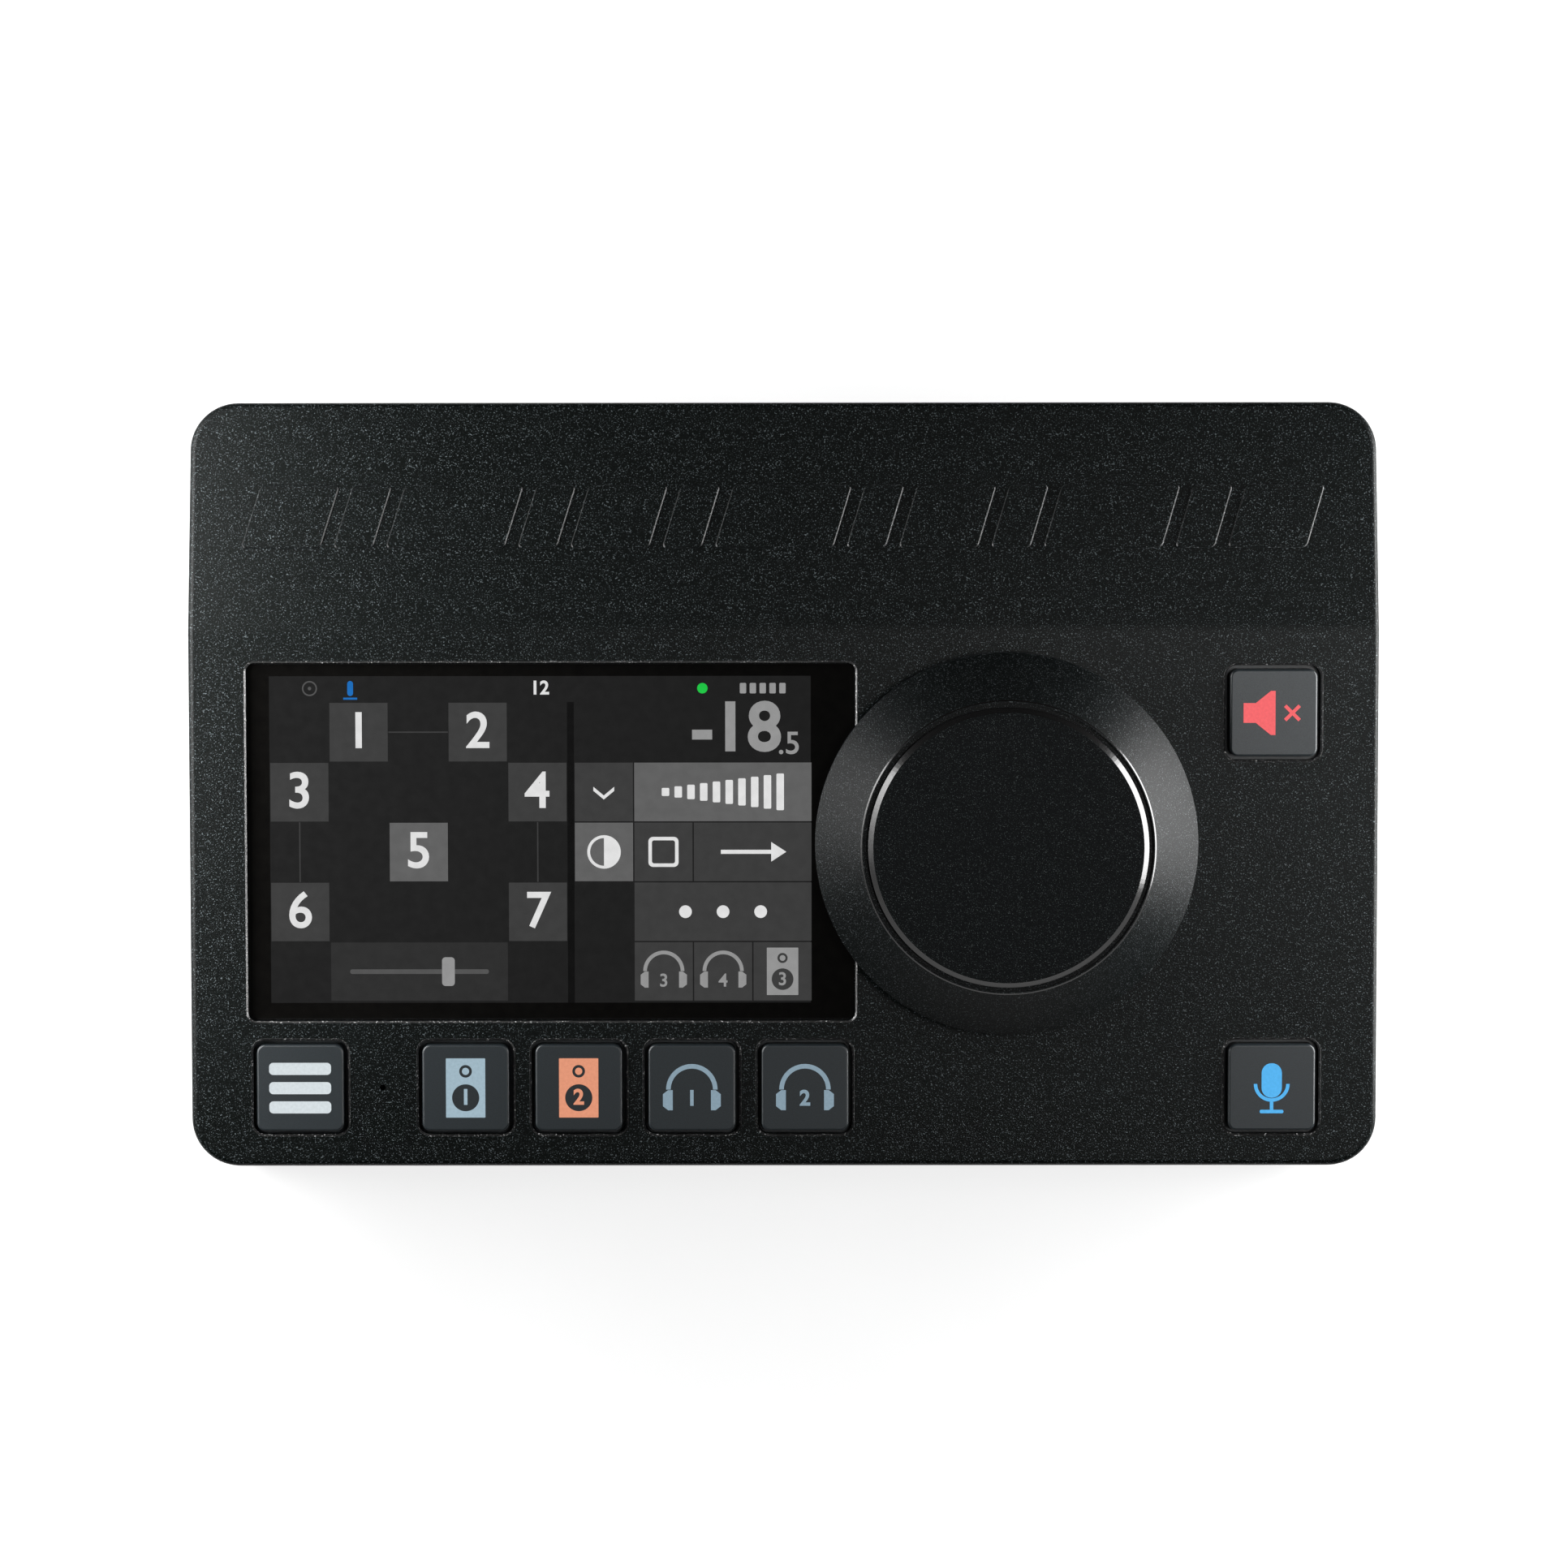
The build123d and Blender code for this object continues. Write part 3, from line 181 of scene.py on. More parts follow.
def lit(name, colour, grain=0.5, strength=1.0):
    """Lit print or screen area, a little uneven over its grain."""
    material, tree, shader = new_material(name)
    fine = noise(tree, grain)
    low = tuple(LIT_DIP * channel for channel in colour)
    tree.links.new(ramp(tree, fine, low, colour), shader.inputs["Emission Color"])
    tree.links.new(ramp(tree, fine, grey(LIT_DARK), grey(LIT_PALE)), shader.inputs["Base Color"])
    shader.inputs["Emission Strength"].default_value = strength
    shader.inputs["Roughness"].default_value = LIT_ROUGHNESS
    shader.inputs["Specular IOR Level"].default_value = LIT_SPECULAR
    return material


# ---- Finishes ------------------------------------------------------------------------------------
GLASS_TINT = 0.3            # share of the light from behind that the cover glass holds back
GLASS_SMEARS = 9.0
GLASS_SMOOTH = 0.1
GLASS_ROUGH = 0.104
GLASS_SPECULAR = 0.3
BOARD_CELL = 4.0            # width of the cells between the tracks of a circuit board
BOARD_GRAIN = 1.5
TRACK_START = 0.42          # distance in a cell at which its lacquer begins to rise to a track
TRACK_END = 0.5
TRACK_RISE = 0.02
FLECK_START = 0.61          # share of a coat's noise at which its flecks begin
FLECK_END = 0.77
FLECK_RISE = 0.05
FLECK_ROUGHNESS = 0.6       # share of its coat's roughness that a fleck has


def cover_glass():
    """Grey-tinted glass with an anti-glare face; its alpha is the tint."""
    material, tree, shader = new_material("cover_glass")
    smears = noise(tree, GLASS_SMEARS)
    tree.links.new(ramp(tree, smears, grey(2), grey(6)), shader.inputs["Base Color"])
    tree.links.new(spread(tree, smears, GLASS_SMOOTH, GLASS_ROUGH), shader.inputs["Roughness"])
    shader.inputs["Alpha"].default_value = GLASS_TINT
    shader.inputs["Specular IOR Level"].default_value = GLASS_SPECULAR
    return material


def circuit_board():
    """Green lacquer over copper tracks, which show as slightly lighter lines."""
    material, tree, shader = new_material("circuit_board")
    place = add_node(tree, "ShaderNodeTexCoord")
    scale = 1 / (BOARD_CELL * MM)
    cells = add_node(tree, "ShaderNodeTexVoronoi", Scale=scale, distance="MANHATTAN")
    tree.links.new(place.outputs["Object"], cells.inputs["Vector"])
    tracks = spread(tree, cells.outputs["Distance"], 0, 1, TRACK_START, TRACK_END)
    colour = ramp(tree, tracks, rgb(14, 72, 42), rgb(26, 104, 60), 0, 1)
    tree.links.new(colour, shader.inputs["Base Color"])
    gloss = spread(tree, noise(tree, BOARD_GRAIN), 0.3, 0.42)
    tree.links.new(gloss, shader.inputs["Roughness"])
    bump(tree, shader, tracks, TRACK_RISE)
    return material


def speckled(name, ground, fleck, grain, rough, specular):
    """Dark coat with sparse pale flecks, which are smoother and stand a little above it."""
    material, tree, shader = new_material(name)
    fine = noise(tree, grain, detail=1.0)
    colour = ramp(tree, fine, ground, fleck, FLECK_START, FLECK_END)
    tree.links.new(colour, shader.inputs["Base Color"])
    gloss = spread(tree, fine, rough, FLECK_ROUGHNESS * rough, FLECK_START, FLECK_END)
    tree.links.new(gloss, shader.inputs["Roughness"])
    bump(tree, shader, fine, FLECK_RISE)
    shader.inputs["Specular IOR Level"].default_value = specular
    return material


POWDER = speckled("powder_coat", rgb(2, 5, 4), rgb(100, 108, 111), 0.22, 0.38, 0.15)
# Paler, glossier copy of the powder coat for the walls of the relief; its paler colour is a painted
# highlight.
RELIEF_WALL_HIGHLIGHT = speckled("relief_wall_highlight", rgb(9, 12, 12), rgb(120, 126, 128), 0.3, 0.36, 0.38)
# Pale speckled colour of the bevels round the openings: a painted highlight along their edges.
PAINTED_RIM_HIGHLIGHT = speckled("painted_rim_highlight", grey(32), grey(220), 0.3, 0.3, 1.0)
KNOB_COAT = speckled("knob_anodised", rgb(2, 5, 5), rgb(88, 93, 95), 0.2, 0.4, 0.13)
KNOB_DISC = speckled("knob_disc", rgb(5, 8, 9), rgb(76, 82, 82), 0.18, 0.5, 0.09)
POLISHED = surface("polished_edge", grey(10), grey(16), 0.16, 0.22, 0.12, 0.001, specular=0.6)
PRINT_BLACK = surface(
    "print_black", rgb(9, 8, 7), rgb(13, 12, 10), 0.8, 0.9, 2.0, 0.001, specular=0.05
)

# Arguments of surface for each slot of the record with a plain finish.
PLAIN_FINISHES = {
    "base_paint": (grey(24), grey(36), 0.45, 0.6, 0.3, 0.01),
    "panel_anodised": (grey(26), grey(36), 0.35, 0.5, 0.12, 0.004),
    "keycap": (rgb(21, 27, 30), rgb(29, 36, 40), 0.38, 0.44, 0.2, 0.004, 0.0, 0.6),
    "display": (grey(8), grey(13), 0.15, 0.25, 3.0, 0.002),
    "gasket": (grey(20), grey(30), 0.9, 1.0, 0.3, 0.05, 0.0, 0.2),
    "rubber": (grey(34), grey(48), 0.75, 0.9, 0.25, 0.03, 0.0, 0.3),
    "zinc_steel": (grey(150), grey(190), 0.25, 0.4, 0.2, 0.003, 1.0),
    "black_steel": (grey(30), grey(46), 0.25, 0.4, 0.15, 0.004),
    "brass": (rgb(190, 150, 80), rgb(220, 180, 105), 0.2, 0.35, 0.3, 0.003, 1.0),
    "contact": (rgb(225, 180, 95), rgb(245, 205, 120), 0.12, 0.22, 0.4, 0.001, 1.0),
    "nickel": (grey(190), grey(215), 0.15, 0.28, 0.4, 0.002, 1.0),
    "chip": (grey(30), grey(42), 0.5, 0.65, 0.15, 0.004),
    "plunger": (grey(50), grey(64), 0.45, 0.6, 0.3, 0.005),
    "ribbon": (rgb(205, 200, 180), rgb(222, 217, 198), 0.35, 0.5, 1.0, 0.004),
    "socket_plastic": (grey(22), grey(34), 0.4, 0.55, 0.2, 0.008),
    "socket_metal": (grey(165), grey(195), 0.25, 0.38, 0.3, 0.003, 1.0),
}
SLOT_MATERIALS = {slot: surface(slot, *finish) for slot, finish in PLAIN_FINISHES.items()}
SLOT_MATERIALS["powder_coat"] = POWDER
SLOT_MATERIALS["knob_anodised"] = KNOB_COAT
SLOT_MATERIALS["display_glass"] = cover_glass()
SLOT_MATERIALS["circuit_board"] = circuit_board()

for subpart in frame["record"]["subparts"]:
    node_data = nodes[subpart["node"]].data
    node_data.materials.clear()
    node_data.materials.append(SLOT_MATERIALS[subpart["material_slot"]])
nodes["knob_cap"].data.materials[0] = KNOB_DISC

LIT_WHITE = lit("lit_white", rgb(218, 227, 231))
LIT_PALE_BLUE = lit("lit_pale_blue", rgb(162, 186, 199))
LIT_ORANGE = lit("lit_orange", rgb(230, 153, 121))
LIT_GREY_BLUE = lit("lit_grey_blue", rgb(136, 158, 172))
LIT_RED = lit("lit_red", rgb(251, 108, 112))
LIT_BLUE = lit("lit_blue", rgb(88, 184, 246))


def screen(name, colour):
    """Area of the screen, lit so that it shows its colour through the tinted glass."""
    return lit(f"screen_{name}", colour, grain=2.0, strength=1 / (1 - GLASS_TINT))


SCREEN_BACK = screen("back", grey(27))
SCREEN_GAP = screen("gap", grey(6))
TILE = screen("tile", grey(60))
TILE_DIM = screen("tile_dim", grey(44))
TILE_BRIGHT = screen("tile_bright", grey(98))
INK_WHITE = screen("ink_white", grey(228))
INK_GREY = screen("ink_grey", grey(150))
INK_DIM = screen("ink_dim", grey(84))
INK_BLUE = screen("ink_blue", rgb(20, 110, 190))
INK_GREEN = screen("ink_green", rgb(30, 200, 70))

# ---- Flat outlines, drawn in millimetres ---------------------------------------------------------
ARC_STEPS = 24
CIRCLE_STEPS = 48
CORNER_STEPS = 6


def arc(x, y, radius, start, end, steps=ARC_STEPS):
    """Points of an arc, with its angles in degrees."""
    angles = [math.radians(start + (end - start) * i / steps) for i in range(steps + 1)]
    return [(x + radius * math.cos(a), y + radius * math.sin(a)) for a in angles]


def circle(x, y, radius, steps=CIRCLE_STEPS):
    return arc(x, y, radius, 0, 360, steps)[:-1]


def bar(x, y, width, height, radius=0.0):
    """Rectangle about its centre, with rounded corners if a radius is given."""
    w, h = width / 2, height / 2
    if not radius:
        return [(x - w, y - h), (x + w, y - h), (x + w, y + h), (x - w, y + h)]
    corners = [(w, -h, -90), (w, h, 0), (-w, h, 90), (-w, -h, 180)]
    points = []
    for cx, cy, start in corners:
        px = x + cx - math.copysign(radius, cx)
        py = y + cy - math.copysign(radius, cy)
        points += arc(px, py, radius, start, start + 90, CORNER_STEPS)
    return points


def ring_part(x, y, outer, inner, start, end):
    """Part of a ring between two angles in degrees."""
    return arc(x, y, outer, start, end) + arc(x, y, inner, end, start)


def moved(loops, x, y, scale=1.0):
    """Loops that are scaled about the origin and then moved."""
    return [[(x + scale * px, y + scale * py) for px, py in loop] for loop in loops]


def finish_curve(name, curve, thickness, place, material, body):
    """Makes a piece of a curve, with its lower face on the place, and lets it ride on a body."""
    curve.extrude = thickness / 2 * MM
    curve.materials.append(material)
    piece = bpy.data.objects.new(name, curve)
    bpy.context.scene.collection.objects.link(piece)
    piece.matrix_world = shifted(place, 0, 0, thickness / 2)
    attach(piece, body)


def plate(name, loops, thickness, place, material, body):
    """Thin plate cut to closed loops; a loop inside another is a hole."""
    curve = bpy.data.curves.new(name, "CURVE")
    curve.dimensions = "2D"
    curve.fill_mode = "BOTH"
    for loop in loops:
        spline = curve.splines.new("POLY")
        spline.points.add(len(loop) - 1)
        for point, (x, y) in zip(spline.points, loop):
            point.co = (x * MM, y * MM, 0, 1)
        spline.use_cyclic_u = True
    finish_curve(name, curve, thickness, place, material, body)


DIGIT_SHARE = 0.73          # height of a digit in the built-in font, for a size of 1
DIGIT_STEPS = 6


def digits(name, text, height, weight, thickness, place, material, body):
    """Centred digits of a given height; weight thickens their strokes."""
    curve = bpy.data.curves.new(name, "FONT")
    curve.body = text
    curve.size = height / DIGIT_SHARE * MM
    curve.align_x = "CENTER"
    curve.align_y = "CENTER"
    curve.offset = weight * MM
    curve.resolution_u = DIGIT_STEPS
    finish_curve(name, curve, thickness, place, material, body)


# ---- Key pictograms: each lies on its cap and rides on that key ----------------------------------
PRINT = 0.03
KEY_DIGIT_HEIGHT = 2.7
KEY_DIGIT_WEIGHT = 0.12
DRIVER_Y = -1.7             # centre of the large driver on a speaker's front
UNDER_HOOP_Y = -1.9         # centre of the digit between a headphone's cups


def key_place(key):
    """Frame in the middle of a key cap's upper face."""
    lows, highs = deck_box(f"{key}_keycap")
    return shifted(deck, (lows[0] + highs[0]) / 2, (lows[1] + highs[1]) / 2, highs[2])


def key_print(key, part, loops, material):
    plate(f"{key}_{part}", loops, PRINT, key_place(key), material, f"{key}_key")


def key_digit(key, text, y, material):
    name = f"{key}_digit"
    height, weight = KEY_DIGIT_HEIGHT, KEY_DIGIT_WEIGHT
    place = shifted(key_place(key), 0, y)
    digits(name, text, height, weight, PRINT, place, material, f"{key}_key")


def speaker_front():
    """Panel with a ring for the small driver and a round hole for the large one."""
    panel = bar(0, 0, 6.8, 10.3, 0.12)
    return [panel, circle(0, 2.9, 1.1), circle(0, 2.9, 0.62), circle(0, DRIVER_Y, 2.35)]


def headphones():
    """Two cups, and the hoop that joins them, seen from the front."""
    right = [(3.3, -3.9), (4.1, -3.9), (5.0, -3.2), (5.0, -1.1), (4.1, -0.4), (3.3, -0.4)]
    left = [(-x, y) for x, y in reversed(right)]
    hoop = ring_part(0, -0.3, 4.45, 3.65, 0, 180)
    return [right, left], [hoop]


def home_key():
    """Three bars, one above the other."""
    key_print("home", "bars", [bar(0, y, 10.7, 2.1, 0.7) for y in (-3.35, 0, 3.35)], LIT_WHITE)


def speaker_key(key, text, material):
    key_print(key, "speaker", speaker_front(), material)
    key_digit(key, text, DRIVER_Y, material)


def headphone_key(key, text):
    cups, hoop = headphones()
    key_print(key, "cups", cups, LIT_GREY_BLUE)
    key_print(key, "hoop", hoop, LIT_GREY_BLUE)
    key_digit(key, text, UNDER_HOOP_Y, LIT_GREY_BLUE)


def mute_key():
    """Loudspeaker with a small cross beside it."""
    upper = [(0.3, 3.8), (-0.5, 3.8), (-3.1, 1.7), (-5.2, 1.7)]
    horn = [(x, -y) for x, y in reversed(upper)] + upper
    arm, half = 1.45, 0.42
    quarter = [(0, half), (arm - half, arm), (arm, arm - half)]
    cross = []
    for _ in range(4):
        cross += quarter
        quarter = [(y, -x) for x, y in quarter]
    key_print("mute", "horn", [horn, *moved([cross], 3.2, 0)], LIT_RED)


def talkback_key():
    """Microphone: a capsule over a yoke on a short stand."""
    shapes = {
        "capsule": bar(0, 1.2, 3.5, 6.0, 1.7),
        "yoke": ring_part(0, 0.6, 3.1, 2.5, 180, 360),
        "stem": bar(0, -3.2, 0.6, 1.4),
        "foot": bar(0, -4.2, 4.1, 0.6, 0.25),
    }
    for part, loop in shapes.items():
        key_print("talkback", part, [loop], LIT_BLUE)


home_key()
speaker_key("speaker_1", "1", LIT_PALE_BLUE)
speaker_key("speaker_2", "2", LIT_ORANGE)
headphone_key("headphone_1", "1")
headphone_key("headphone_2", "2")
mute_key()
talkback_key()

# ---- Screen: printed border and lit layout behind the cover glass --------------------------------
SCREEN_WIDTH = 93.4
SCREEN_DEPTH = 56.6
SCREEN_V_SHIFT = 0.15
PIXELS_WIDE = 800
PIXELS_DEEP = 480
MIDDLE_X = PIXELS_WIDE / 2
MIDDLE_Y = PIXELS_DEEP / 2
HEADER = 38                 # height of the header in pixels, as the sizes below are
CELL = 88
DIVIDER_LEFT = 440
RIGHT_BLOCK = 450
LAYER = 0.02
BACK, TILES, MARKS, FRONT = range(4)
GLASS_ROOM = 0.3

module_low, module_high = deck_box("display_module")
glass_low, glass_high = deck_box("display_glass")
screen_u = (module_low[0] + module_high[0]) / 2
screen_v = (module_low[1] + module_high[1]) / 2 + SCREEN_V_SHIFT


def screen_place(layer, x=MIDDLE_X, y=MIDDLE_Y):
    """Place of a screen pixel, counted from the upper left corner, in one of the layers."""
    u = screen_u + (x / PIXELS_WIDE - 0.5) * SCREEN_WIDTH
    v = screen_v + (0.5 - y / PIXELS_DEEP) * SCREEN_DEPTH
    return shifted(deck, u, v, glass_low[2] + layer * LAYER)


def screen_plate(name, loops, material, layer=MARKS, x=MIDDLE_X, y=MIDDLE_Y):
    place = screen_place(layer, x, y)
    plate(f"screen_{name}", loops, LAYER, place, material, "housing")


def screen_digits(name, text, x, y, height, material, weight=0.12):
    place = screen_place(FRONT, x, y)
    digits(f"screen_{name}", text, height, weight, LAYER, place, material, "housing")


def area(left, top, right, bottom):
    """Rectangle between screen pixels."""
    x = SCREEN_WIDTH / PIXELS_WIDE
    y = SCREEN_DEPTH / PIXELS_DEEP
    middle = ((left + right) / 2 - MIDDLE_X) * x, (MIDDLE_Y - (top + bottom) / 2) * y
    return bar(*middle, (right - left) * x, (bottom - top) * y)


def tile(column, row, wide=1, block=0):
    """Tile of the grid with a one-pixel seam around it."""
    left = block + column * CELL
    top = HEADER + row * CELL
    return area(left + 1, top + 1, left + wide * CELL - 1, top + CELL - 1)


def centre(column, row, wide=1, block=0):
    """Pixel in the middle of a tile."""
    return block + (column + wide / 2) * CELL, HEADER + (row + 0.5) * CELL


def screen_ground():
    """Black border under the glass, and the dark ground of the lit area."""
    outline = bar(
        (glass_low[0] + glass_high[0]) / 2 - screen_u,
        (glass_low[1] + glass_high[1]) / 2 - screen_v,
        glass_high[0] - glass_low[0] - GLASS_ROOM,
        glass_high[1] - glass_low[1] - GLASS_ROOM,
    )
    window = bar(0, 0, SCREEN_WIDTH, SCREEN_DEPTH)
    divider = area(DIVIDER_LEFT, HEADER, RIGHT_BLOCK, PIXELS_DEEP)
    screen_plate("border", [outline, window], PRINT_BLACK, BACK)
    screen_plate("ground", [window], SCREEN_BACK, BACK)
    screen_plate("divider", [divider], SCREEN_GAP, TILES)


def left_block():
    """Numbered tiles around a level slider, joined by thin lines."""
    numbered = {"1": (1, 0), "2": (3, 0), "3": (0, 1), "4": (4, 1), "6": (0, 3), "7": (4, 3)}
    screen_plate("tiles_left", [tile(*cell) for cell in numbered.values()], TILE, TILES)
    screen_plate("tile_middle", [tile(2, 2)], TILE_BRIGHT, TILES)
    screen_plate("slider_ground", [tile(1, 4, 3)], TILE_DIM, TILES)
    for text, cell in {**numbered, "5": (2, 2)}.items():
        screen_digits(f"number_{text}", text, *centre(*cell), 6.4, INK_WHITE)
    x, y = centre(2, 0)
    lines = [area(x - CELL / 2, y - 1, x + CELL / 2, y + 1)]
    for column in (0, 4):
        x, y = centre(column, 2)
        lines.append(area(x - 1, y - CELL / 2, x + 1, y + CELL / 2))
    screen_plate("lines", lines, TILE, TILES)
    x, y = centre(1, 4, 3)
    screen_plate("slider_track", [bar(0, 0, 24, 0.8, 0.35)], INK_DIM, MARKS, x, y)
    screen_plate("slider_grip", [bar(5, 0, 2.2, 5.0, 0.6)], INK_GREY, FRONT, x, y)


def right_block():
    """Level readout over rows of tiles with plain pictograms."""
    block = RIGHT_BLOCK
    tiles = [tile(0, 1, 1, block), tile(1, 2, 1, block), tile(2, 2, 2, block), tile(1, 3, 3, block)]
    tiles += [tile(i, 4, 1, block) for i in (1, 2, 3)]
    screen_plate("tiles_right", tiles, TILE, TILES)
    screen_plate("tiles_bright", [tile(1, 1, 3, block), tile(0, 2, 1, block)], TILE_BRIGHT, TILES)
    screen_digits("level", "-18", 690, HEADER + 40, 8.6, INK_GREY, weight=0.3)
    screen_digits("level_tenth", ".5", 768, HEADER + 62, 4.0, INK_GREY, weight=0.05)
    chevron = [(-1.8, 0.9), (0, -0.6), (1.8, 0.9), (1.8, 0.2), (0, -1.3), (-1.8, 0.2)]
    screen_plate("chevron", [chevron], INK_WHITE, MARKS, *centre(0, 1, 1, block))
    levels = [bar(2.2 * i - 9.9, 0, 1.3, 1.4 + 0.55 * i, 0.2) for i in range(10)]
    screen_plate("levels", levels, INK_WHITE, MARKS, *centre(1, 1, 3, block))
    half_disc = arc(0, 0, 2.9, -90, 90)
    half_ring = ring_part(0, 0, 2.9, 2.4, 90, 270)
    screen_plate("half_disc", [half_disc], INK_WHITE, MARKS, *centre(0, 2, 1, block))
    screen_plate("half_ring", [half_ring], INK_WHITE, MARKS, *centre(0, 2, 1, block))
    square = [bar(0, 0, 5.2, 5.2, 0.8), bar(0, 0, 4.0, 4.0, 0.4)]
    screen_plate("square", square, INK_WHITE, MARKS, *centre(1, 2, 1, block))
    upper = [(-5.5, 0.35), (3.2, 0.35), (3.2, 1.7), (5.8, 0)]
    arrow = upper + [(x, -y) for x, y in reversed(upper[:-1])]
    screen_plate("arrow", [arrow], INK_WHITE, MARKS, *centre(2, 2, 2, block))
    dots = [circle(6.5 * i, 0, 1.1) for i in (-1, 0, 1)]
    screen_plate("dots", dots, INK_WHITE, MARKS, *centre(1, 3, 3, block))
    cups, hoop = headphones()
    for i, text in ((1, "3"), (2, "4")):
        x, y = centre(i, 4, 1, block)
        screen_plate(f"cups_{text}", moved(cups, 0, 0.3, 0.8), INK_GREY, MARKS, x, y)
        screen_plate(f"hoop_{text}", moved(hoop, 0, 0.3, 0.8), INK_GREY, MARKS, x, y)
        screen_digits(f"output_{text}", text, x, y + 14, 2.3, INK_GREY, weight=0.05)
    x, y = centre(3, 4, 1, block)
    screen_plate("speaker_3", moved(speaker_front(), 0, 0, 0.8), INK_GREY, MARKS, x, y)
    screen_digits("speaker_digit_3", "3", x, y + 12, 2.3, INK_GREY, weight=0.05)


def header():
    """Small marks along the top of the screen."""
    y = HEADER / 2 - 1
    rings = [circle(0, 0, radius) for radius in (1.3, 1.05, 0.3)]
    screen_plate("ring_mark", rings, INK_DIM, MARKS, 60, y)
    microphone = [bar(0, 0, 1.0, 2.6, 0.5), bar(0, -1.75, 2.4, 0.35)]
    screen_plate("blue_mark", microphone, INK_BLUE, MARKS, 120, y)
    screen_digits("header", "12", 400, y, 2.4, INK_WHITE, weight=0.08)
    screen_plate("green_mark", [circle(0, 0, 0.9)], INK_GREEN, MARKS, 640, y)
    marks = [bar(1.7 * i, 0, 1.1, 1.8, 0.2) for i in range(5)]
    screen_plate("grey_marks", marks, INK_GREY, MARKS, 700, y)


screen_ground()
left_block()
right_block()
header()


# ---- Meshes --------------------------------------------------------------------------------------
def add_mesh(name, points, faces, material, body):
    """Mesh of points in metres in the shared frame, which rides on a body."""
    mesh = bpy.data.meshes.new(name)
    mesh.from_pydata(points, [], faces)
    mesh.materials.append(material)
    piece = bpy.data.objects.new(name, mesh)
    bpy.context.scene.collection.objects.link(piece)
    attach(piece, body)
    return piece


def side_faces(low, high, size):
    """Faces between two rings of points, given the number of each ring's first point."""
    return [(low + i, low + (i + 1) % size, high + (i + 1) % size, high + i) for i in range(size)]


def deck_band(name, rings, material, body):
    """Closed band on the deck: rings of (u, v, n) points, joined in turn, the last to the first."""
    size = len(rings[0])
    starts = [k * size for k in range(len(rings))]
    faces = []
    for low, high in zip(starts, starts[1:] + starts[:1]):
        faces += side_faces(low, high, size)
    points = [deck @ (Vector(point) * MM) for ring in rings for point in ring]
    add_mesh(name, points, faces, material, body)


# ---- Polished edges of the knob ------------------------------------------------------------------
CAP_BEVEL = 0.9
CONE_SPREAD = 8.0           # rim of the knob to the upper edge of its cone
CONE_EDGE = 0.28            # polished upper edge of the cone
BAND_RISE = 0.015
BAND_ROOM = 0.05            # upper end of a band to the end of its bevel
BAND_STEPS = 192


def knob_band(name, start, end):
    """Thin conical band about the knob's axis between two (radius, n) points of its surface."""
    along = Vector(end) - Vector(start)
    rise = Vector((along.y, -along.x)).normalized() * BAND_RISE
    rings = []
    for edge, side in ((start, -1), (start, 1), (end, 1), (end, -1)):
        radius, height = Vector(edge) + side * rise
        rings.append([(x, y, height) for x, y in circle(0, 0, radius, BAND_STEPS)])
    deck_band(name, rings, POLISHED, "knob")


def knob_edges():
    """Bevel of the knob's disc, and upper edge of its cone."""
    _, (radius, _, top) = deck_box("knob_cap")
    end = radius - CAP_BEVEL + BAND_ROOM, top - BAND_ROOM
    knob_band("cap_bevel", (radius, top - CAP_BEVEL), end)
    _, (rim, _, top) = deck_box("volume_knob")
    radius = rim - CONE_SPREAD
    end = radius + BAND_ROOM, top - BAND_ROOM
    knob_band("cone_edge", (radius + CONE_EDGE, top - CONE_EDGE), end)


knob_edges()

# ---- Bevels of the openings in the deck, with a painted highlight --------------------------------
OPENING_RADIUS = 2.0
OPENING_BEVEL = 0.35
FLANGE_LAP = 0.7            # flange of a key outside its opening
POCKET_RADIUS = 1.5
POCKET_BEVEL = 0.3
POCKET_ROOM = 0.2           # display pocket outside the cover glass


def opening_rim(name, node, outset, radius, bevel):
    """Band on the bevel of the rounded opening that lies outset from a node's outline, painted pale as a
    highlight along the edge.
    """
    lows, highs = deck_box(node)
    u, v = (lows[0] + highs[0]) / 2, (lows[1] + highs[1]) / 2
    width, depth = highs[0] - lows[0] + 2 * outset, highs[1] - lows[1] + 2 * outset
    rings = []
    for wider, height, side in ((bevel, 0, -1), (bevel, 0, 1), (0, -bevel, 1), (0, -bevel, -1)):
        grown = wider - side * BAND_RISE
        outline = bar(u, v, width + 2 * grown, depth + 2 * grown, radius + grown)
        rings.append([(x, y, height + side * BAND_RISE) for x, y in outline])
    deck_band(name, rings, PAINTED_RIM_HIGHLIGHT, "housing")


for node in nodes:
    if node.endswith("_keycap"):
        rim_name = node.replace("keycap", "rim")
        opening_rim(rim_name, node, -FLANGE_LAP, OPENING_RADIUS, OPENING_BEVEL)
opening_rim("display_rim", "display_glass", POCKET_ROOM, POCKET_RADIUS, POCKET_BEVEL)

# ---- Raised relief on the rear deck --------------------------------------------------------------
RELIEF_BEHIND_CREASE = 19.9
RELIEF_LENGTH = 187.0
RELIEF_DEPTH = 11.1
RELIEF_RADIUS = 0.9
RELIEF_RISE = 0.34
RELIEF_ROOT = 0.1           # part of the relief inside the deck
RELIEF_BEVEL = 0.2
RELIEF_SLANT = 0.3
RELIEF_GAP = 2.2
RELIEF_RHYTHM = (2, 1, 3, 1)
RELIEF_BARS = 13
RELIEF_SECTIONS = (         # inset and height of each ring of a bar
    (0, -RELIEF_ROOT),
    (0, RELIEF_RISE - RELIEF_BEVEL),
    (RELIEF_BEVEL, RELIEF_RISE),
)
NEARLY_LEVEL = 0.99         # least upward share of the rear deck's normal
FLAT = 0.95                 # least cosine of a face that lies flat on the deck


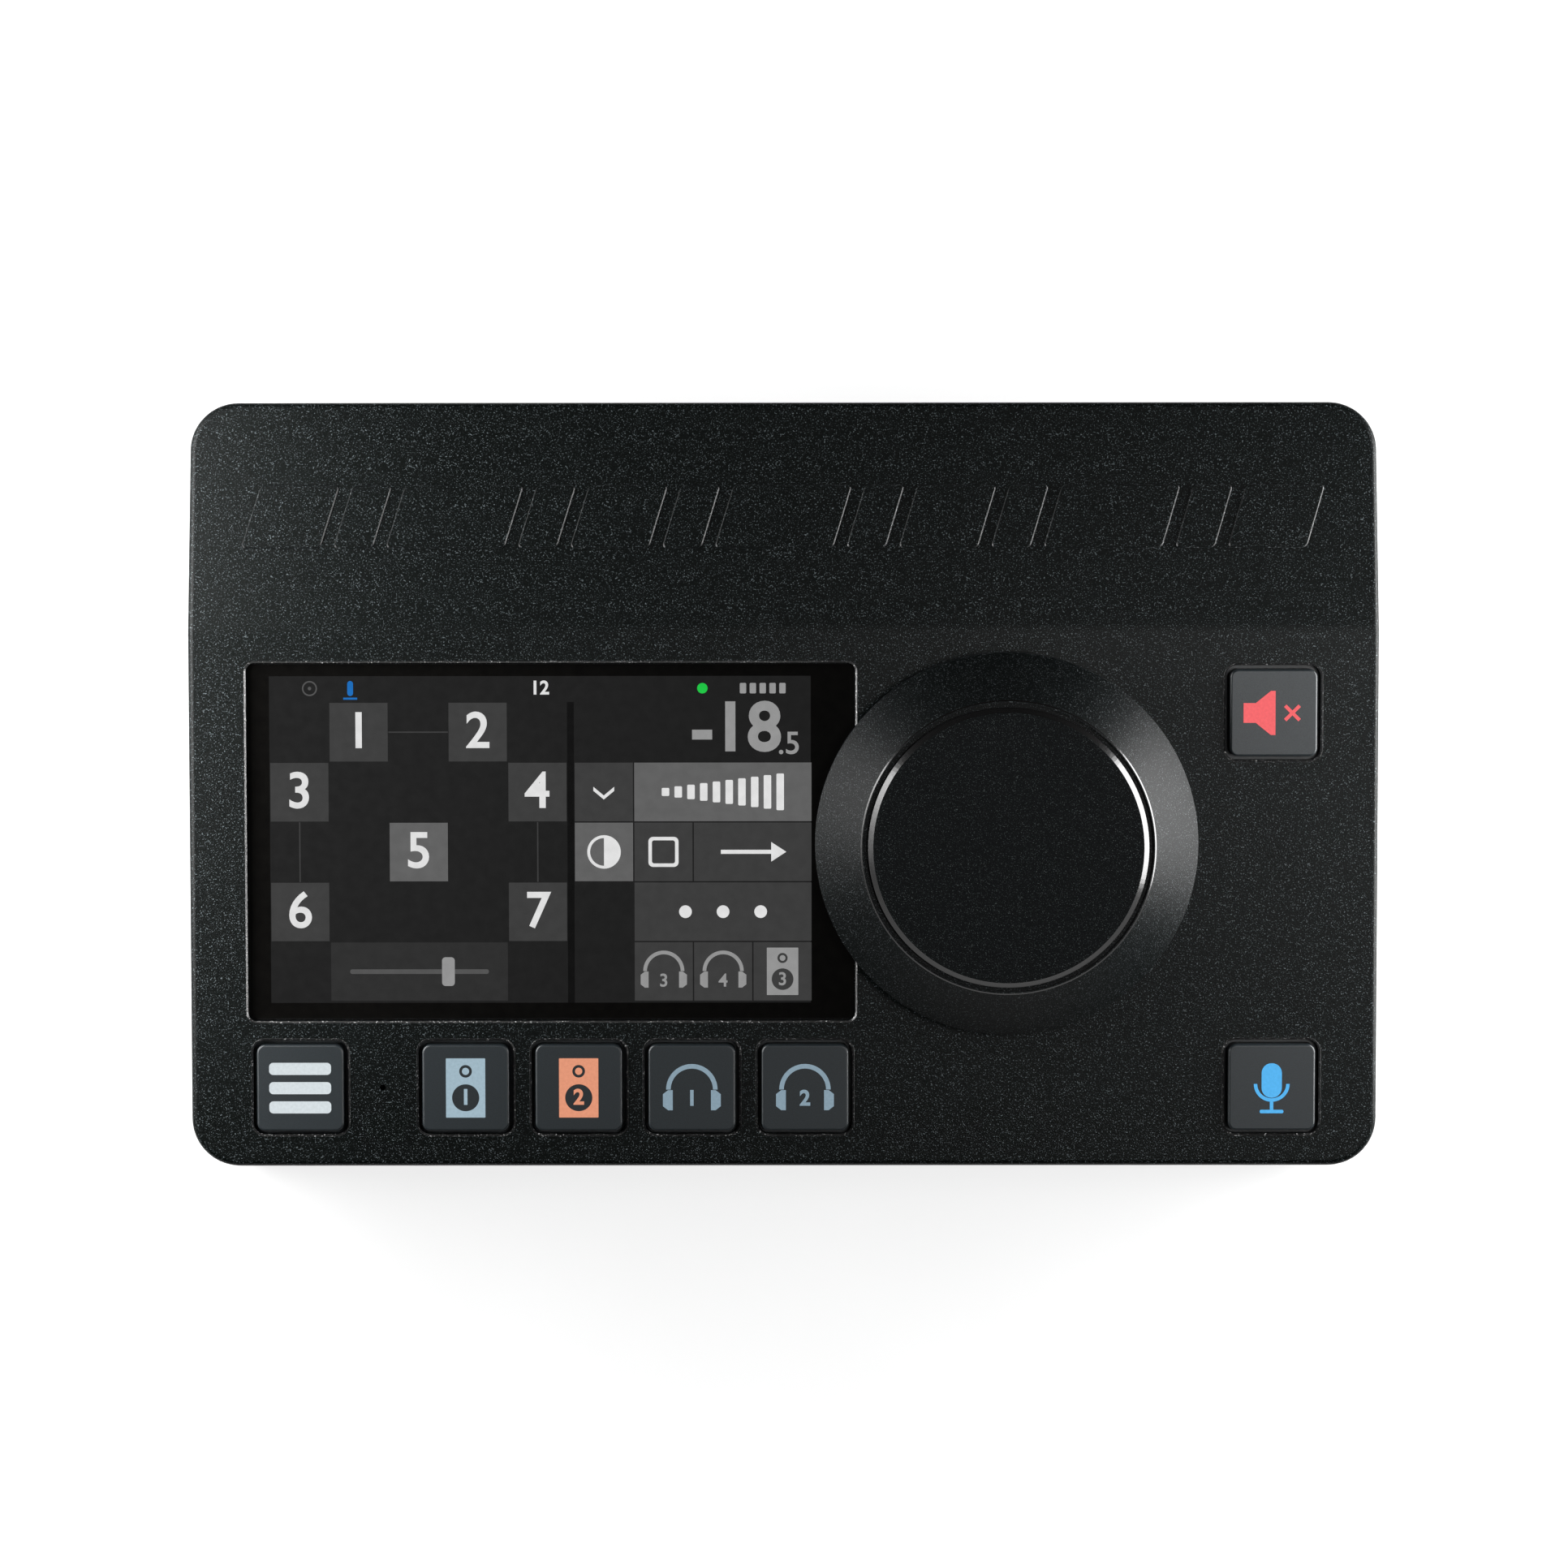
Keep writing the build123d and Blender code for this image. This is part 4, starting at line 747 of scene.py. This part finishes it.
def rear_deck_place():
    """Frame on the rear deck, with its origin in the middle of the relief band."""
    faces = nodes["top_housing"].data.polygons
    rearward = [face for face in faces if face.normal.y > 0 and face.normal.z > NEARLY_LEVEL]
    largest = max(rearward, key=lambda face: face.area)
    normal = largest.normal.copy()
    crease, _ = intersect_plane_plane(deck.translation, deck_n, largest.center, normal)
    rearwards = normal.cross(deck_u)
    origin = Vector((0, crease.y, crease.z)) + rearwards * RELIEF_BEHIND_CREASE * MM
    return frame_at(origin, deck_u, rearwards, normal)


def slanted_bar(x, width, inset, height):
    """Outline of a bar of the relief at a height, with each x shifted along the slant."""
    radius = RELIEF_RADIUS - inset
    outline = bar(x, 0, width - 2 * inset, RELIEF_DEPTH - 2 * inset, radius)
    return [(px + RELIEF_SLANT * py, py, height) for px, py in outline]


def relief():
    """Row of slanted bars of three widths, with bevelled upper edges and a painted highlight on their walls.
    """
    place = rear_deck_place()
    units = [RELIEF_RHYTHM[i % len(RELIEF_RHYTHM)] for i in range(RELIEF_BARS)]
    slant = RELIEF_SLANT * RELIEF_DEPTH
    unit = (RELIEF_LENGTH - RELIEF_GAP * (RELIEF_BARS - 1) - slant) / sum(units)
    points = []
    faces = []
    left = (slant - RELIEF_LENGTH) / 2
    for count in units:
        width = count * unit
        middle = left + width / 2
        rings = [slanted_bar(middle, width, inset, height) for inset, height in RELIEF_SECTIONS]
        size = len(rings[0])
        first = len(points)
        top = first + (len(rings) - 1) * size
        for low in range(first, top, size):
            faces += side_faces(low, low + size, size)
        faces.append(tuple(range(top, top + size)))
        faces.append(tuple(range(first + size - 1, first - 1, -1)))
        points += [place @ (Vector(point) * MM) for ring in rings for point in ring]
        left += width + RELIEF_GAP
    mesh = add_mesh("relief", points, faces, POWDER, "housing").data
    # The walls of the bars take the paler copy of the coat, a painted highlight on their edges.
    mesh.materials.append(RELIEF_WALL_HIGHLIGHT)
    normal = place.to_3x3().col[2]
    for polygon in mesh.polygons:
        if abs(polygon.normal.dot(normal)) < FLAT:
            polygon.material_index = 1


relief()


# ---- Floor, world, lamps and camera --------------------------------------------------------------
def floor_material():
    """Pale floor, lifted to white where the object doesn't shade it, and clear from below."""
    material, tree, shader = new_material("floor")
    colour = ramp(tree, noise(tree, FLOOR_GRAIN), grey(FLOOR_DARK), grey(FLOOR_PALE))
    tree.links.new(colour, shader.inputs["Base Color"])
    shader.inputs["Roughness"].default_value = FLOOR_ROUGHNESS
    shader.inputs["Specular IOR Level"].default_value = FLOOR_SPECULAR
    shader.inputs["Emission Color"].default_value = (1, 1, 1, 1)
    path = add_node(tree, "ShaderNodeLightPath")
    seen = path.outputs["Is Camera Ray"]
    for ray in ("Is Glossy Ray", "Is Transmission Ray"):
        added = add_node(tree, "ShaderNodeMath", operation="MAXIMUM")
        tree.links.new(seen, added.inputs[0])
        tree.links.new(path.outputs[ray], added.inputs[1])
        seen = added.outputs[0]
    lift = add_node(tree, "ShaderNodeMath", operation="MULTIPLY")
    lift.inputs[1].default_value = FLOOR_LIFT
    tree.links.new(seen, lift.inputs[0])
    tree.links.new(lift.outputs[0], shader.inputs["Emission Strength"])
    side = add_node(tree, "ShaderNodeNewGeometry")
    clear = add_node(tree, "ShaderNodeBsdfTransparent")
    mix = add_node(tree, "ShaderNodeMixShader")
    tree.links.new(side.outputs["Backfacing"], mix.inputs[0])
    tree.links.new(shader.outputs[0], mix.inputs[1])
    tree.links.new(clear.outputs[0], mix.inputs[2])
    tree.links.new(mix.outputs[0], tree.nodes["Material Output"].inputs["Surface"])
    return material


def add_floor():
    mesh = bpy.data.meshes.new("floor")
    half = FLOOR_SIZE / 2 * MM
    corners = [(-half, -half, 0), (half, -half, 0), (half, half, 0), (-half, half, 0)]
    mesh.from_pydata(corners, [], [(0, 1, 2, 3)])
    mesh.materials.append(floor_material())
    floor = bpy.data.objects.new("floor", mesh)
    bpy.context.scene.collection.objects.link(floor)


def add_lamp(name, place, width, height, radiance):
    """Soft box that faces the object, with its radiance where white is 1."""
    lamp = bpy.data.lights.new(name, "AREA")
    lamp.shape = "RECTANGLE"
    lamp.size = width * MM
    lamp.size_y = height * MM
    lamp.energy = radiance * math.pi * lamp.size * lamp.size_y
    holder = bpy.data.objects.new(name, lamp)
    holder.location = Vector(place) * MM
    holder.rotation_mode = "QUATERNION"
    holder.rotation_quaternion = holder.location.to_track_quat("Z", "Y")
    holder.visible_camera = False
    bpy.context.scene.collection.objects.link(holder)


def add_world():
    world = bpy.data.worlds.new("studio")
    world.use_nodes = True
    background = world.node_tree.nodes["Background"]
    background.inputs["Color"].default_value = (1, 1, 1, 1)
    background.inputs["Strength"].default_value = WORLD_LIGHT
    bpy.context.scene.world = world


def add_camera():
    data = bpy.data.cameras.new("camera")
    data.lens = CAMERA_LENS
    data.sensor_width = SENSOR
    camera = bpy.data.objects.new("camera", data)
    camera.location = Vector(CAMERA_PLACE) * MM
    camera.rotation_euler = CAMERA_TURN
    bpy.context.scene.collection.objects.link(camera)
    bpy.context.scene.camera = camera


add_floor()
add_world()
for lamp_name, lamp_values in LAMPS.items():
    add_lamp(lamp_name, *lamp_values)
add_camera()
bpy.context.scene.view_settings.view_transform = "Standard"
